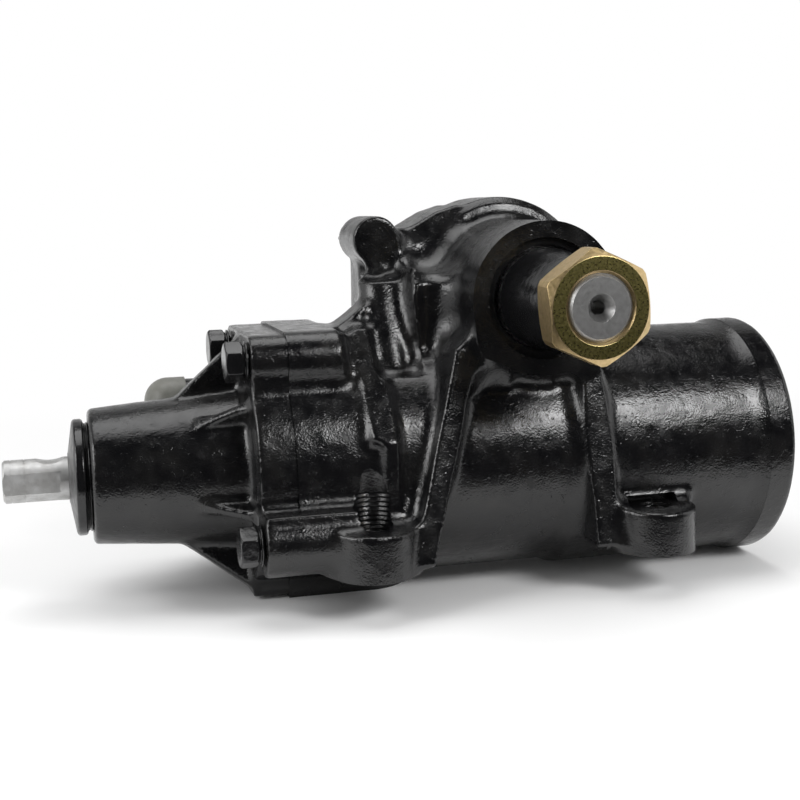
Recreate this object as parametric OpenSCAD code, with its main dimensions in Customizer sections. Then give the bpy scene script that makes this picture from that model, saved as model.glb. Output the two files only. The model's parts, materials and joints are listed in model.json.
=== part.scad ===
// Power steering gear: a worm drives a rack piston on recirculating balls, and
// the rack turns a toothed cross shaft that carries the steering arm.
// The pieces are laid out about the worm axis, with X along the worm from the
// input shaft to the end plug, Y from the output end to the side cover, Z up.
// gear_frame() carries the layout to its origin, the middle of the output taper.

/* [Layout] */
// Height of the cross shaft axis above the worm axis
centre_distance = 81.1; // [80:0.1:83]
// Joint of the valve housing, ahead of the cross shaft
joint_reach = 123; // [122:0.5:126]
// Rear end of the body, behind the cross shaft
rear_reach = 129.8; // [128:0.1:134]
// Joint of the side cover, behind the worm plane
cover_reach = 42; // [41:0.5:44]

/* [Main housing] */
// Outer radius of the body under the cross shaft
body_r = 58.4; // [57.5:0.1:60]
// Outer radius of the body behind the cross shaft
rear_body_r = 60.8; // [60:0.1:62]
// Radius of the rounded bead at the rear end, which the body stands on
bead_r = 62.6; // [62.2:0.1:65]
// Length of the rear bead
bead_w = 17; // [12:0.5:22]
// Radius of the cylinder bore
bore_r = 44; // [43.5:0.1:44.5]
// Radius of the output boss
boss_r = 37; // [35.5:0.1:39]
// Face of the output boss, ahead of the worm plane
boss_reach = 53.5; // [52.5:0.5:57]
// Outer radius of the ring round the side cover opening
ring_r = 48.5; // [47.5:0.1:50]
// Half width of the foot pad under the front of the body
foot_half_w = 24; // [20:0.5:28]

/* [Mounting ears] */
// Radius of the tapped holes, the drill size of an M16 thread
ear_hole_r = 7; // [6:0.1:8]
// Outer radius of an ear
ear_r = 19.75; // [17:0.25:22]
// Distance of the ear holes from the worm plane
ear_offset = 65; // [64:0.5:68]
// Front ear, ahead of the cross shaft
ear_front = 90; // [89:0.5:92]
// Rear ear, behind the cross shaft
ear_rear = 51.5; // [50:0.5:56]
// Underside of the ears, below the worm axis
ear_drop = 42; // [40:0.5:46]
// Height of the ears
ear_h = 22; // [18:0.5:24]

/* [Valve housing] */
// Front face of the nose, ahead of the cross shaft
nose_reach = 214; // [212:0.5:218]
// Radius of the nose at its front face
nose_r = 32.75; // [31:0.25:34]
// Radius of the drafted nose where it meets the flange
nose_root_r = 38.6; // [38:0.1:41]
// Thickness of the flange
flange_t = 17.5; // [15:0.5:20]
// Upper flange bolts, distance from the worm plane
upper_bolt_y = 31; // [29:0.5:33]
// Upper flange bolts, height above the worm axis
upper_bolt_z = 55.5; // [54:0.5:57]
// Lower flange bolts, distance from the worm plane
lower_bolt_y = 59; // [58:0.5:61]
// Lower flange bolts, depth below the worm axis
lower_bolt_z = 26; // [24:0.5:27]

/* [Input shaft] */
// Tip of the input shaft, ahead of the cross shaft
input_reach = 254.1; // [248:0.5:262]
// Radius of the input shaft
input_r = 10.28; // [9.6:0.02:10.6]
// Depth of the flat that keys the coupling
input_flat_depth = 1.2; // [0.6:0.1:1.6]

/* [Rack and sector] */
// Height of the rack's pitch line above the worm axis
rack_pitch_z = 37; // [36.6:0.1:37.4]
// Tooth module
tooth_module = 9.5; // [9.3:0.05:9.7]
// Pressure angle of the teeth
pressure_angle = 25; // [24:0.5:26]
// Face width of the sector
sector_w = 36; // [30:0.5:38]
// Largest turn of the cross shaft to each side, in degrees
sector_turn = 42; // [38:0.5:43]
// Length of the rack piston ahead of the cross shaft
piston_nose = 53.5; // [53:0.5:56]
// Length of the rack piston behind the cross shaft
piston_tail = 75; // [73:0.5:77]

/* [Worm and balls] */
// Radius of the circle that the ball centres follow
ball_circle_r = 16; // [15.5:0.1:16.5]
// Radius of a ball
ball_r = 3.5; // [3:0.1:3.6]
// Advance of the thread in one turn
worm_lead = 18; // [16:0.5:20]
// Outer radius of the valve sleeve
sleeve_r = 24; // [23:0.1:24.5]
// Radius of the torsion bar
torsion_bar_r = 4; // [3.5:0.1:4.5]

/* [Output shaft] */
// Radius of the cross shaft in its bearing, and of the taper's large end
shaft_r = 24; // [23:0.1:24.5]
// Radius of the taper's small end
taper_tip_r = 20.6; // [20:0.1:21.5]
// Length of the taper
taper_l = 40; // [36:0.5:44]
// Outer radius of the thread under the nut
thread_r = 15; // [14:0.1:16]
// Width of the nut across its flats
nut_af = 46; // [44:0.5:48]
// Thickness of the nut
nut_t = 19; // [16:0.5:22]

/* [Side cover] */
// Thickness of the cover's flange
cover_t = 9; // [8:0.5:12]
// Radius of the cover's centre boss
cover_boss_r = 33; // [31:0.5:36]
// Height of the centre boss above the flange
cover_boss_h = 11; // [9:0.5:14]

/* [Hidden] */
$fn = 72;

// Finishes
enamel = [0.05, 0.05, 0.055];
bare_steel = [0.72, 0.72, 0.70];
ground_steel = [0.60, 0.61, 0.62];
rubber_black = [0.10, 0.10, 0.10];
yellow_zinc = [0.72, 0.60, 0.30];
cap_plastic = [0.45, 0.45, 0.40];
bronze = [0.70, 0.52, 0.28];
ptfe_grey = [0.35, 0.36, 0.34];

// Clearances: of a seated piece, of a running piece, of an end face, and a cut's overrun
seat_gap = 0.05;
run_gap = 0.06;
end_gap = 1.2;
over = 1;

// Rack and sector
pitch_r = centre_distance - rack_pitch_z;
tooth_pitch = PI * tooth_module;
pitch_angle = tooth_pitch / pitch_r * 180 / PI;
backlash = 0.4;
tip_r = pitch_r + 0.58 * tooth_module;
piston_r = bore_r - run_gap;
rack_top_clearance = 0.6;
root_r = centre_distance - piston_r - rack_top_clearance;
rack_root_z = centre_distance - tip_r - 1.1;
rack_travel = pitch_r * sector_turn * PI / 180;
chamber_clearance = 2.4;
chamber_r = tip_r + chamber_clearance;
chamber_upper_r = ring_r - 5.5;
chamber_throat_r = boss_r - 6;
ring_front = 14;
chamber_rise = 8;
chamber_front = sector_w / 2 + 2;
chamber_wall = 6;

// Thrust stack on the worm, from the web in the main housing forward
web_t = 5;
thrust_t = 5;
thrust_bore_r = sleeve_r - 3;
thrust_r = 34;
worm_flange_t = 6;
worm_head_t = 9;
counterbore_r = 40;
web_rear = -(piston_nose + rack_travel + end_gap);
web_front = web_rear - web_t;
worm_flange_rear = web_front - thrust_t - run_gap;
worm_flange_front = worm_flange_rear - worm_flange_t;
spigot_end = worm_flange_front - run_gap - thrust_t;
sleeve_rear = worm_flange_front - worm_head_t;
joint_x = -joint_reach;
flange_front_x = joint_x - flange_t;

// Stack in the nose, from its face back
snap_ring_x = -nose_reach + 2;
snap_ring_t = 1.6;
input_seal_x = snap_ring_x + snap_ring_t;
input_seal_t = 8;
input_seal_r = 20;
needle_x = input_seal_x + input_seal_t + 2;
needle_t = 11;
needle_r = 18;
sleeve_gap = 5.3;
sleeve_front = needle_x + needle_t + sleeve_gap;
sleeve_l = sleeve_rear - sleeve_front;
journal_r = input_r + 2.2;
land_r = input_r + 0.1;
land_x = -nose_reach - 13;
drive_pin_r = 1.5;
drive_pin_z = sleeve_r - 7;
spool_r = sleeve_r - 10;

// Rear end
plug_t = 11;
plug_seat_x = rear_reach - 18;
plug_r = bore_r + 3;
ring_groove_x = plug_seat_x + plug_t;
ring_groove_t = 2.6;
ring_groove_r = plug_r + 2.4;
bead_x = rear_reach - bead_w;

// Flange bolts
bolt_r = 6;
bolt_af = 18;
bolt_head_t = 11.5;
bolt_grip = 21;
bolt_hole_l = 22;
upper_lug_r = 12;
lower_lug_r = 15;
lug_depth = 26;
lug_blend = 0.8;

// Side cover bolts, as offsets of X and Z from the cross shaft, with the front of each boss
cover_bolts = [[-68, 28, 5], [-68, -31, 18], [62, -33, 24], [62, -1, 24]];
cover_bolt_r = 5;
cover_bolt_af = 16;
cover_bolt_head_t = 7;
cover_bolt_depth = 30;
cover_boss_lug_r = 12;
cover_lug_r = 10;
cover_edge = 4;
cover_land_r = chamber_r + 10;
cover_hub_r = 27;
cover_hub_front = sector_w / 2 + 5;
bushing_wall = 3;
journal_rear_r = 20;
journal_rear_y = cover_reach + 6;
cover_face_y = cover_reach + cover_t;
cover_boss_y = cover_face_y + cover_boss_h;
cover_seal_inset = 1.2;
cover_seal_w = 2.6;
cover_seal_t = 2;

// Lash adjuster
adjuster_r = 6;
adjuster_head_r = 8.8;
adjuster_head_t = 6;
adjuster_pocket_y = journal_rear_y - 10;
adjuster_nut_af = 19;
adjuster_nut_t = 9;
adjuster_end_y = cover_boss_y + adjuster_nut_t + 7;

// Output end of the cross shaft, outward along -Y
taper_start = boss_reach + 1.5;
taper_end = taper_start + taper_l;
taper_mid_y = (taper_start + taper_end) / 2;
washer_t = 3;
washer_r = taper_tip_r + 0.9;
nut_seat = taper_end + washer_t;
shaft_tip = nut_seat + nut_t + 0.3;
nut_corner_turn = 20;

// Output bearing and seal, from the boss face back
boss_bore_r = shaft_r + 5;
retaining_y = boss_reach - 3;
retaining_t = 1.6;
seal_washer_t = 1.4;
sector_seal_t = 6;
sector_needle_l = 18;

// Ports on the far side of the valve housing, as offsets of Y and Z from the worm axis
ports = [[46, 27], [52, -2]];
port_r = 13;
port_bore_r = 8;
port_front_x = flange_front_x - 22;
cap_l = 21;

// Ball circuit
ball_turns = 2.25;
balls_per_turn = 14;
ball_start_x = -42;
nut_bore_r = ball_circle_r + ball_r + 0.15;
groove_r = ball_r + 0.6;
worm_r = ball_circle_r - 0.4;
worm_tip_x = piston_tail - rack_travel - 12;
piston_plug_t = 8;

// Layout helpers
module gear_frame() {
    translate([0, taper_mid_y, -centre_distance]) children();
}

module cross_shaft() {
    translate([0, 0, centre_distance]) children();
}

// Turns local Z along +X
module along_x(x) {
    translate([x, 0, 0]) rotate([0, 90, 0]) children();
}

module rod_x(x0, x1, r) {
    along_x(x0) cylinder(h = x1 - x0, r = r);
}

module tube_x(x0, x1, r_in, r_out) {
    difference() {
        rod_x(x0, x1, r_out);
        rod_x(x0 - over, x1 + over, r_in);
    }
}

// Turns local Z along +Y
module along_y(y) {
    translate([0, y, 0]) rotate([-90, 0, 0]) children();
}

module rod_y(y0, y1, r) {
    along_y(y0) cylinder(h = y1 - y0, r = r);
}

module tube_y(y0, y1, r_in, r_out) {
    difference() {
        rod_y(y0, y1, r_out);
        rod_y(y0 - over, y1 + over, r_in);
    }
}

module rod_z(z0, z1, r) {
    translate([0, 0, z0]) cylinder(h = z1 - z0, r = r);
}

// Extrudes an outline drawn in X and Z from y0 to y1
module across(y0, y1) {
    translate([0, y1, 0]) rotate([90, 0, 0]) linear_extrude(y1 - y0) children();
}

// Extrudes an outline drawn in Y and Z from x0 to x1
module endwise(x0, x1) {
    translate([x0, 0, 0]) rotate([90, 0, 90]) linear_extrude(x1 - x0) children();
}

// Extrudes an outline drawn in X and Y from z0 to z1
module upright(z0, z1) {
    translate([0, 0, z0]) linear_extrude(z1 - z0) children();
}

// A straight bar of half width r between two points of an outline
module bar(a, b, r) {
    span = b - a;
    translate(a) rotate(atan2(span[1], span[0])) translate([0, -r]) square([norm(span), 2 * r]);
}

// A hexagon prism with both rims chamfered, along local Z
module hex_head(af, t, chamfer) {
    corner = af / sqrt(3);
    intersection() {
        cylinder(h = t, r = corner, $fn = 6);
        rotate_extrude() polygon([
            [0, 0], [af / 2 - chamfer / 2, 0], [corner, chamfer], [corner, t - chamfer],
            [af / 2 - chamfer / 2, t], [0, t]
        ]);
    }
}

module at_flange_bolts() {
    for (side = [-1, 1]) {
        translate([0, side * upper_bolt_y, upper_bolt_z]) children();
        translate([0, side * lower_bolt_y, -lower_bolt_z]) children();
    }
}

module at_cover_bolts() {
    for (spot = cover_bolts)
        translate([spot[0], 0, centre_distance + spot[1]]) children();
}

// Outline of the joint between the housings: a round flange with two upper lugs,
// two lower lugs and a foot, the upper lugs grown by a margin
module flange_outline(foot_z, grow) {
    lug_r = upper_lug_r + grow;
    circle(r = body_r - 0.8);
    translate([-upper_bolt_y, 0]) square([2 * upper_bolt_y, upper_bolt_z + lug_r]);
    for (side = [-1, 1]) {
        upper = [side * upper_bolt_y, upper_bolt_z];
        lower = [side * lower_bolt_y, -lower_bolt_z];
        translate(upper) circle(r = lug_r);
        bar([0, 0], upper, upper_lug_r - lug_blend);
        translate(lower) circle(r = lower_lug_r);
        bar([0, 0], lower, lower_lug_r - lug_blend);
    }
    translate([-foot_half_w, -foot_z]) square([2 * foot_half_w, foot_z]);
}

// Outline of the sector chamber, grown by a margin, about the cross shaft
module chamber_outline(upper_r, grow) {
    circle(r = upper_r + grow);
    intersection() {
        circle(r = chamber_r + grow);
        translate([-2 * chamber_r, -2 * chamber_r])
            square([4 * chamber_r, 2 * chamber_r + chamber_rise + grow]);
    }
}

// Shoulder that carries the ring over to the upper cover boss, about the cross shaft
module ring_shoulder() {
    polygon([
        [-60, 26], [-46, ring_r - 13.6], [-34.5, ring_r - 7.2], [-23.5, ring_r - 3.8], [0, ring_r - 4], [0, 0]
    ]);
}

// Outline of the side cover, grown by a margin, about the cross shaft
module cover_outline(grow) {
    count = len(cover_bolts);
    circle(r = ring_r + grow);
    ring_shoulder();
    intersection() {
        circle(r = cover_land_r + grow);
        translate([-2 * cover_land_r, -2 * cover_land_r])
            square([4 * cover_land_r, 2 * cover_land_r + chamber_rise]);
    }
    polygon([for (spot = cover_bolts) [spot[0], spot[1]]]);
    for (i = [0 : count - 1]) {
        here = [cover_bolts[i][0], cover_bolts[i][1]];
        next = [cover_bolts[(i + 1) % count][0], cover_bolts[(i + 1) % count][1]];
        translate(here) circle(r = cover_lug_r + grow);
        bar(here, next, cover_edge + grow);
    }
}

// A web that leans along X, its near edge running out from the boss to the ear
module leaning_web(top, foot, width, reach_top, reach_foot) {
    span = top - foot;
    height = norm(span);
    translate([foot[0], 0, foot[1]]) rotate([0, atan2(span[0], span[1]), 0])
        endwise(-width / 2, width / 2)
            polygon([[-reach_foot, 0], [-reach_top, height], [0, height], [0, 0]]);
}

// A mounting ear with its neck to the body, side -1 on the output side and 1 on the cover side
module ear(x, side) {
    ear_blend = 0.5;
    upright(-ear_drop, -ear_drop + ear_h) {
        translate([x, side * ear_offset]) circle(r = ear_r);
        translate([x - ear_r + ear_blend, side * ear_offset / 2 - ear_offset / 2])
            square([2 * (ear_r - ear_blend), ear_offset]);
    }
}

// Main housing
module body_barrel() {
    step_x = 10;
    bead_fillet = 4;
    rim = 1.4;
    along_x(0) rotate_extrude() polygon([
        [0, joint_x], [body_r, joint_x], [body_r, step_x], [rear_body_r, step_x + 6],
        [rear_body_r, bead_x - bead_fillet], [bead_r - 0.4, bead_x], [bead_r, bead_x + rim],
        [bead_r, rear_reach - rim], [bead_r - rim, rear_reach], [0, rear_reach]
    ]);
}

module sector_case() {
    case_r = chamber_r + chamber_wall;
    case_front = -chamber_front - chamber_wall;
    case_roof = 4;
    lug_end = -joint_reach + lug_depth;
    column_x = -68;
    column_y = -17;
    column_r = 12;
    neck_x = -72.5;
    step_x = -56;
    step_y = ring_front - 6;
    wing_front = -14;
    wing_slope = [
        [lug_end, 0], [lug_end, upper_bolt_z + 10.5], [-87, centre_distance - 8.4],
        [-67.5, centre_distance + 7.3], [-48.5, centre_distance + 24.6], [-35, centre_distance + 33],
        [0, centre_distance], [0, 0]
    ];
    cross_shaft() {
        rod_y(-boss_reach, ring_front + over, boss_r);
        along_y(ring_front - 14) cylinder(h = 14, r1 = boss_r - 1, r2 = ring_r);
        rod_y(ring_front, cover_reach, ring_r);
        across(ring_front, cover_reach) ring_shoulder();
    }
    across(wing_front, 6) intersection() {
        polygon(wing_slope);
        translate([2 * lug_end, 0]) square([step_x - 2 * lug_end, 2 * centre_distance]);
    }
    intersection() {
        across(column_y - column_r - over, cover_reach) polygon(wing_slope);
        union() {
            translate([column_x, column_y, 0]) rod_z(0, 2 * centre_distance, column_r);
            translate([neck_x, wing_front, 0])
                cube([step_x - neck_x, cover_reach - wing_front, 2 * centre_distance]);
            translate([step_x - 1, step_y, 0])
                cube([1 - step_x, cover_reach - step_y, 2 * centre_distance]);
        }
    }
    across(case_front, cover_reach) intersection() {
        union() {
            translate([0, centre_distance]) circle(r = case_r);
            translate([-case_r, 0]) square([2 * case_r, centre_distance - 4]);
        }
        translate([-case_r, 0]) square([2 * case_r, centre_distance + chamber_rise + case_roof]);
    }
    cross_shaft() across(cover_reach - 12, cover_reach) cover_outline(0);
    for (spot = cover_bolts)
        translate([spot[0], 0, centre_distance + spot[1]])
            rod_y(spot[2], cover_reach - 3, cover_boss_lug_r);
}

module main_housing() {
    web_w = 11;
    web_foot_z = -ear_drop + 4;
    web_top_z = centre_distance - 24;
    rib_x = -82;
    rib_reach = body_r + 3.6;
    foot_blend = 0.5;
    groove_top = 20;
    spot_wall = 47;
    spot_depth = 0.4;
    spot_half_w = ear_r - 5;
    ear_top = -ear_drop + ear_h;
    tap_r = ear_hole_r + 1.5;
    color(enamel) gear_frame() difference() {
        union() {
            body_barrel();
            endwise(joint_x, joint_x + lug_depth) flange_outline(bead_r - 1, 1.2);
            upright(-bead_r, -bead_r / 2) {
                translate([joint_x, -foot_half_w + foot_blend])
                    square([lug_depth + 15, 2 * (foot_half_w - foot_blend)]);
                translate([joint_x + lug_depth + 15, 0]) circle(r = foot_half_w);
            }
            sector_case();
            leaning_web([-40, web_top_z], [-68.5, web_foot_z], web_w, boss_reach - 1, ear_offset + 11);
            leaning_web([27, web_top_z - 6], [37, web_foot_z], web_w, boss_reach - 1, ear_offset + 8);
            endwise(rib_x - web_w / 2, rib_x + web_w / 2) polygon([
                [0, web_foot_z], [-rib_reach, web_foot_z], [-rib_reach, 18], [-26, centre_distance - 13],
                [0, centre_distance - 13]
            ]);
            ear(-ear_front, -1);
            ear(ear_rear, -1);
            ear((ear_rear - ear_front) / 2, 1);
        }
        rod_x(web_rear, plug_seat_x + over, bore_r);
        rod_x(joint_x - over, web_front, counterbore_r);
        rod_x(web_front - over, web_rear + over, thrust_bore_r);
        rod_x(plug_seat_x, rear_reach + over, plug_r);
        rod_x(ring_groove_x, ring_groove_x + ring_groove_t, ring_groove_r);
        cross_shaft() {
            across(-chamber_front, ring_front + chamber_wall + over) chamber_outline(chamber_throat_r, 0);
            across(ring_front + chamber_wall, cover_reach + over) chamber_outline(chamber_upper_r, 0);
            across(cover_reach, 2 * cover_reach) cover_outline(1.2);
            rod_y(-boss_reach - over, -chamber_front + over, boss_bore_r);
            rod_y(-retaining_y, -retaining_y + retaining_t, boss_bore_r + 2);
        }
        at_flange_bolts() rod_x(joint_x - over, joint_x + bolt_hole_l, bolt_r + seat_gap);
        at_cover_bolts() rod_y(cover_bolt_depth - 2, cover_reach + over, cover_bolt_r + seat_gap);
        for (spot = [[-ear_front, -1], [ear_rear, -1], [(ear_rear - ear_front) / 2, 1]])
            translate([spot[0], spot[1] * ear_offset, 0])
                rod_z(-ear_drop - over, ear_top + over, ear_hole_r);
        translate([-ear_front, -ear_offset, 0]) rod_z(ear_top - spot_depth, groove_top, tap_r);
        translate([ear_rear - spot_half_w, -2 * ear_offset, ear_top - spot_depth])
            cube([2 * spot_half_w, 2 * ear_offset - spot_wall, 9]);
    }
}

// Valve housing and its fittings
module nose_web(angle, x_front, r_front, r_rear, t) {
    r_in = nose_r - 8;
    rotate([angle, 0, 0]) across(-t / 2, t / 2) polygon([
        [x_front, r_in], [x_front, r_front], [flange_front_x + over, r_rear], [flange_front_x + over, r_in]
    ]);
}

module valve_housing() {
    rim = 1.5;
    web_x = flange_front_x - 32;
    near_web_x = flange_front_x - 28;
    color(enamel) gear_frame() difference() {
        union() {
            along_x(0) rotate_extrude() polygon([
                [0, -nose_reach], [nose_r - rim, -nose_reach], [nose_r, -nose_reach + rim],
                [nose_root_r, flange_front_x + over], [0, flange_front_x + over]
            ]);
            endwise(flange_front_x, joint_x) flange_outline(bead_r - 1.6, 0);
            rod_x(joint_x - over, spigot_end, counterbore_r - seat_gap);
            nose_web(0, web_x, nose_root_r - 3, upper_bolt_z + 10, 9);
            nose_web(160, web_x, nose_root_r - 3, bead_r - 1, 9);
            nose_web(200, web_x, nose_root_r - 3, bead_r - 1, 9);
            for (angle = [45, 108, 315])
                nose_web(angle, near_web_x, nose_root_r - 3, body_r - 6, 5);
            for (spot = ports)
                translate([0, spot[0], spot[1]]) rod_x(port_front_x, flange_front_x + over, port_r - 1);
            for (spot = ports)
                endwise(port_front_x + 6, flange_front_x + over) bar([0, 0], spot, port_r - 4);
        }
        rod_x(sleeve_front - 1, spigot_end + over, sleeve_r + run_gap);
        rod_x(needle_x - over, sleeve_front, needle_r - 2);
        rod_x(needle_x, needle_x + needle_t, needle_r);
        rod_x(-nose_reach - over, needle_x + over, input_seal_r);
        rod_x(snap_ring_x, input_seal_x, input_seal_r + 1.6);
        tube_x(spigot_end - 6, spigot_end - 3, counterbore_r - 2, counterbore_r + 2);
        at_flange_bolts() rod_x(flange_front_x - over, joint_x + over, bolt_r + 0.5);
        for (spot = ports)
            translate([0, spot[0], spot[1]]) rod_x(port_front_x - over, flange_front_x, port_bore_r);
    }
}

module valve_housing_bolts() {
    color(enamel) gear_frame() at_flange_bolts() {
        along_x(flange_front_x - bolt_head_t) {
            hex_head(bolt_af, bolt_head_t - 2, 1.2);
            translate([0, 0, bolt_head_t - 2]) cylinder(h = 2, r = bolt_af / 2 + 1);
        }
        rod_x(flange_front_x - over, joint_x + bolt_grip, bolt_r);
    }
}

module valve_housing_seal() {
    color(rubber_black) gear_frame()
        tube_x(spigot_end - 6, spigot_end - 3, counterbore_r - 2, counterbore_r - seat_gap / 2);
}

module dust_seal() {
    rim_r = 28;
    rim_t = 3;
    tip_x = -nose_reach - 12;
    bore = land_r + run_gap;
    color(rubber_black) gear_frame() along_x(0) rotate_extrude() polygon([
        [input_seal_r - 3, snap_ring_x - 0.1], [input_seal_r - seat_gap, snap_ring_x - 0.1],
        [input_seal_r - seat_gap, -nose_reach], [rim_r, -nose_reach], [rim_r, -nose_reach - rim_t],
        [rim_r - 2, -nose_reach - rim_t - 0.6], [bore + 1.4, tip_x], [bore, tip_x],
        [bore, tip_x + 3], [input_seal_r - 3, -nose_reach - 1]
    ]);
}

module input_seal_snap_ring() {
    color(bare_steel) gear_frame()
        tube_x(snap_ring_x, input_seal_x, journal_r + 3.5, input_seal_r + 1.5);
}

module input_shaft_seal() {
    color(rubber_black) gear_frame()
        tube_x(input_seal_x, input_seal_x + input_seal_t, journal_r + run_gap, input_seal_r - seat_gap);
}

module input_needle_bearing() {
    color(ground_steel) gear_frame()
        tube_x(needle_x, needle_x + needle_t, journal_r + run_gap, needle_r - seat_gap);
}

// Two races with a ring of needles between them, front face at local zero
module thrust_bearing(x) {
    race_t = 1.4;
    needle_count = 24;
    needle_length = thrust_r - thrust_bore_r - 6;
    cage_t = thrust_t - 2 * race_t;
    tube_x(x, x + race_t, thrust_bore_r, thrust_r);
    tube_x(x + thrust_t - race_t, x + thrust_t, thrust_bore_r, thrust_r);
    for (i = [0 : needle_count - 1])
        rotate([i * 360 / needle_count, 0, 0])
            translate([x + thrust_t / 2, 0, thrust_bore_r + 3])
                cylinder(h = needle_length, r = cage_t / 2, $fn = 24);
}

module upper_thrust_bearing() {
    color(ground_steel) gear_frame() thrust_bearing(spigot_end);
}

module lower_thrust_bearing() {
    color(ground_steel) gear_frame() thrust_bearing(web_front - thrust_t);
}

// A moulded cap: a stem in the port and a domed head over its boss
module port_cap(spot) {
    stem_l = 12;
    dome = 12;
    arc = [for (i = [0 : 6]) [port_r - dome + dome * sin(i * 15), -cap_l + dome - dome * cos(i * 15)]];
    translate([port_front_x, spot[0], spot[1]]) rotate([0, 90, 0]) rotate_extrude()
        polygon(concat([[0, -cap_l]], arc,
            [[port_r, 0], [port_bore_r - seat_gap, 0], [port_bore_r - seat_gap, stem_l], [0, stem_l]]));
}

module pressure_port_cap() {
    color(cap_plastic) gear_frame() port_cap(ports[0]);
}

module return_port_cap() {
    color(cap_plastic) gear_frame() port_cap(ports[1]);
}

// Side cover and its fittings
module side_cover() {
    rim = 3;
    color(enamel) gear_frame() difference() {
        union() {
            cross_shaft() {
                across(cover_reach, cover_face_y) cover_outline(0);
                along_y(cover_face_y - over)
                    cylinder(h = cover_boss_h - rim + over, r1 = cover_boss_r + 4, r2 = cover_boss_r);
                along_y(cover_boss_y - rim) cylinder(h = rim, r1 = cover_boss_r, r2 = cover_boss_r - rim);
                rod_y(cover_hub_front, cover_reach + over, cover_hub_r);
            }
        }
        cross_shaft() {
            rod_y(cover_hub_front - over, journal_rear_y + end_gap, journal_rear_r + bushing_wall);
            rod_y(journal_rear_y, cover_boss_y + over, adjuster_r + seat_gap);
            across(cover_reach - over, cover_reach + cover_seal_t) difference() {
                chamber_outline(chamber_upper_r, cover_seal_inset + cover_seal_w);
                chamber_outline(chamber_upper_r, cover_seal_inset);
            }
        }
        at_cover_bolts() rod_y(cover_reach - over, cover_face_y + over, cover_bolt_r + 0.5);
    }
}

module side_cover_bolts() {
    color(enamel) gear_frame() at_cover_bolts() {
        along_y(cover_face_y) hex_head(cover_bolt_af, cover_bolt_head_t, 1.2);
        rod_y(cover_bolt_depth, cover_face_y + over, cover_bolt_r);
    }
}

module side_cover_seal() {
    color(rubber_black) gear_frame() cross_shaft()
        across(cover_reach, cover_reach + cover_seal_t) difference() {
            chamber_outline(chamber_upper_r, cover_seal_inset + cover_seal_w - seat_gap);
            chamber_outline(chamber_upper_r, cover_seal_inset + seat_gap);
        }
}

module side_cover_bushing() {
    color(bronze) gear_frame() cross_shaft()
        tube_y(cover_hub_front, journal_rear_y,
            journal_rear_r + run_gap, journal_rear_r + bushing_wall - seat_gap);
}

module lash_adjuster_screw() {
    slot_w = 2;
    slot_d = 3;
    color(bare_steel) gear_frame() cross_shaft() difference() {
        union() {
            rod_y(adjuster_pocket_y + 0.3, adjuster_pocket_y + 0.3 + adjuster_head_t, adjuster_head_r);
            rod_y(adjuster_pocket_y + over, adjuster_end_y, adjuster_r);
        }
        translate([-2 * adjuster_r, adjuster_end_y - slot_d, -slot_w / 2])
            cube([4 * adjuster_r, slot_d + over, slot_w]);
    }
}

module lash_adjuster_nut() {
    color(bare_steel) gear_frame() cross_shaft() difference() {
        along_y(cover_boss_y) hex_head(adjuster_nut_af, adjuster_nut_t, 1.2);
        rod_y(cover_boss_y - over, cover_boss_y + adjuster_nut_t + over, adjuster_r + seat_gap);
    }
}

// Output bearing and seal
module sector_seal_retaining_ring() {
    color(bare_steel) gear_frame() cross_shaft()
        tube_y(-retaining_y, -retaining_y + retaining_t, shaft_r + 1.6, boss_bore_r + 1.9);
}

module sector_seal_washer() {
    y0 = -retaining_y + retaining_t;
    color(bare_steel) gear_frame() cross_shaft()
        tube_y(y0, y0 + seal_washer_t, shaft_r + 0.4, boss_bore_r - seat_gap);
}

module sector_shaft_seal() {
    y0 = -retaining_y + retaining_t + seal_washer_t;
    color(rubber_black) gear_frame() cross_shaft()
        tube_y(y0, y0 + sector_seal_t, shaft_r + run_gap, boss_bore_r - seat_gap);
}

module sector_needle_bearing() {
    y0 = -retaining_y + retaining_t + seal_washer_t + sector_seal_t;
    color(ground_steel) gear_frame() cross_shaft()
        tube_y(y0, y0 + sector_needle_l, shaft_r + run_gap, boss_bore_r - seat_gap);
}

// Rear end
module end_plug() {
    dish_r = plug_r - 14;
    dish_d = 4;
    lug_af = 22;
    color(enamel) gear_frame() difference() {
        rod_x(plug_seat_x, plug_seat_x + plug_t, plug_r - seat_gap);
        difference() {
            rod_x(plug_seat_x + plug_t - dish_d, plug_seat_x + plug_t + over, dish_r);
            endwise(plug_seat_x, plug_seat_x + plug_t) square(lug_af, center = true);
        }
        tube_x(plug_seat_x + 4, plug_seat_x + 7, plug_r - 2, plug_r + 2);
    }
}

module end_plug_seal() {
    color(rubber_black) gear_frame()
        tube_x(plug_seat_x + 4, plug_seat_x + 7, plug_r - 2, plug_r - seat_gap / 2);
}

module end_plug_retaining_ring() {
    gap_w = 9;
    color(bare_steel) gear_frame() difference() {
        tube_x(ring_groove_x, ring_groove_x + ring_groove_t - 0.1, plug_r - 3, ring_groove_r - 0.1);
        translate([ring_groove_x - over, -gap_w / 2, -2 * plug_r])
            cube([ring_groove_t + 2 * over, gap_w, 2 * plug_r]);
    }
}

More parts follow.
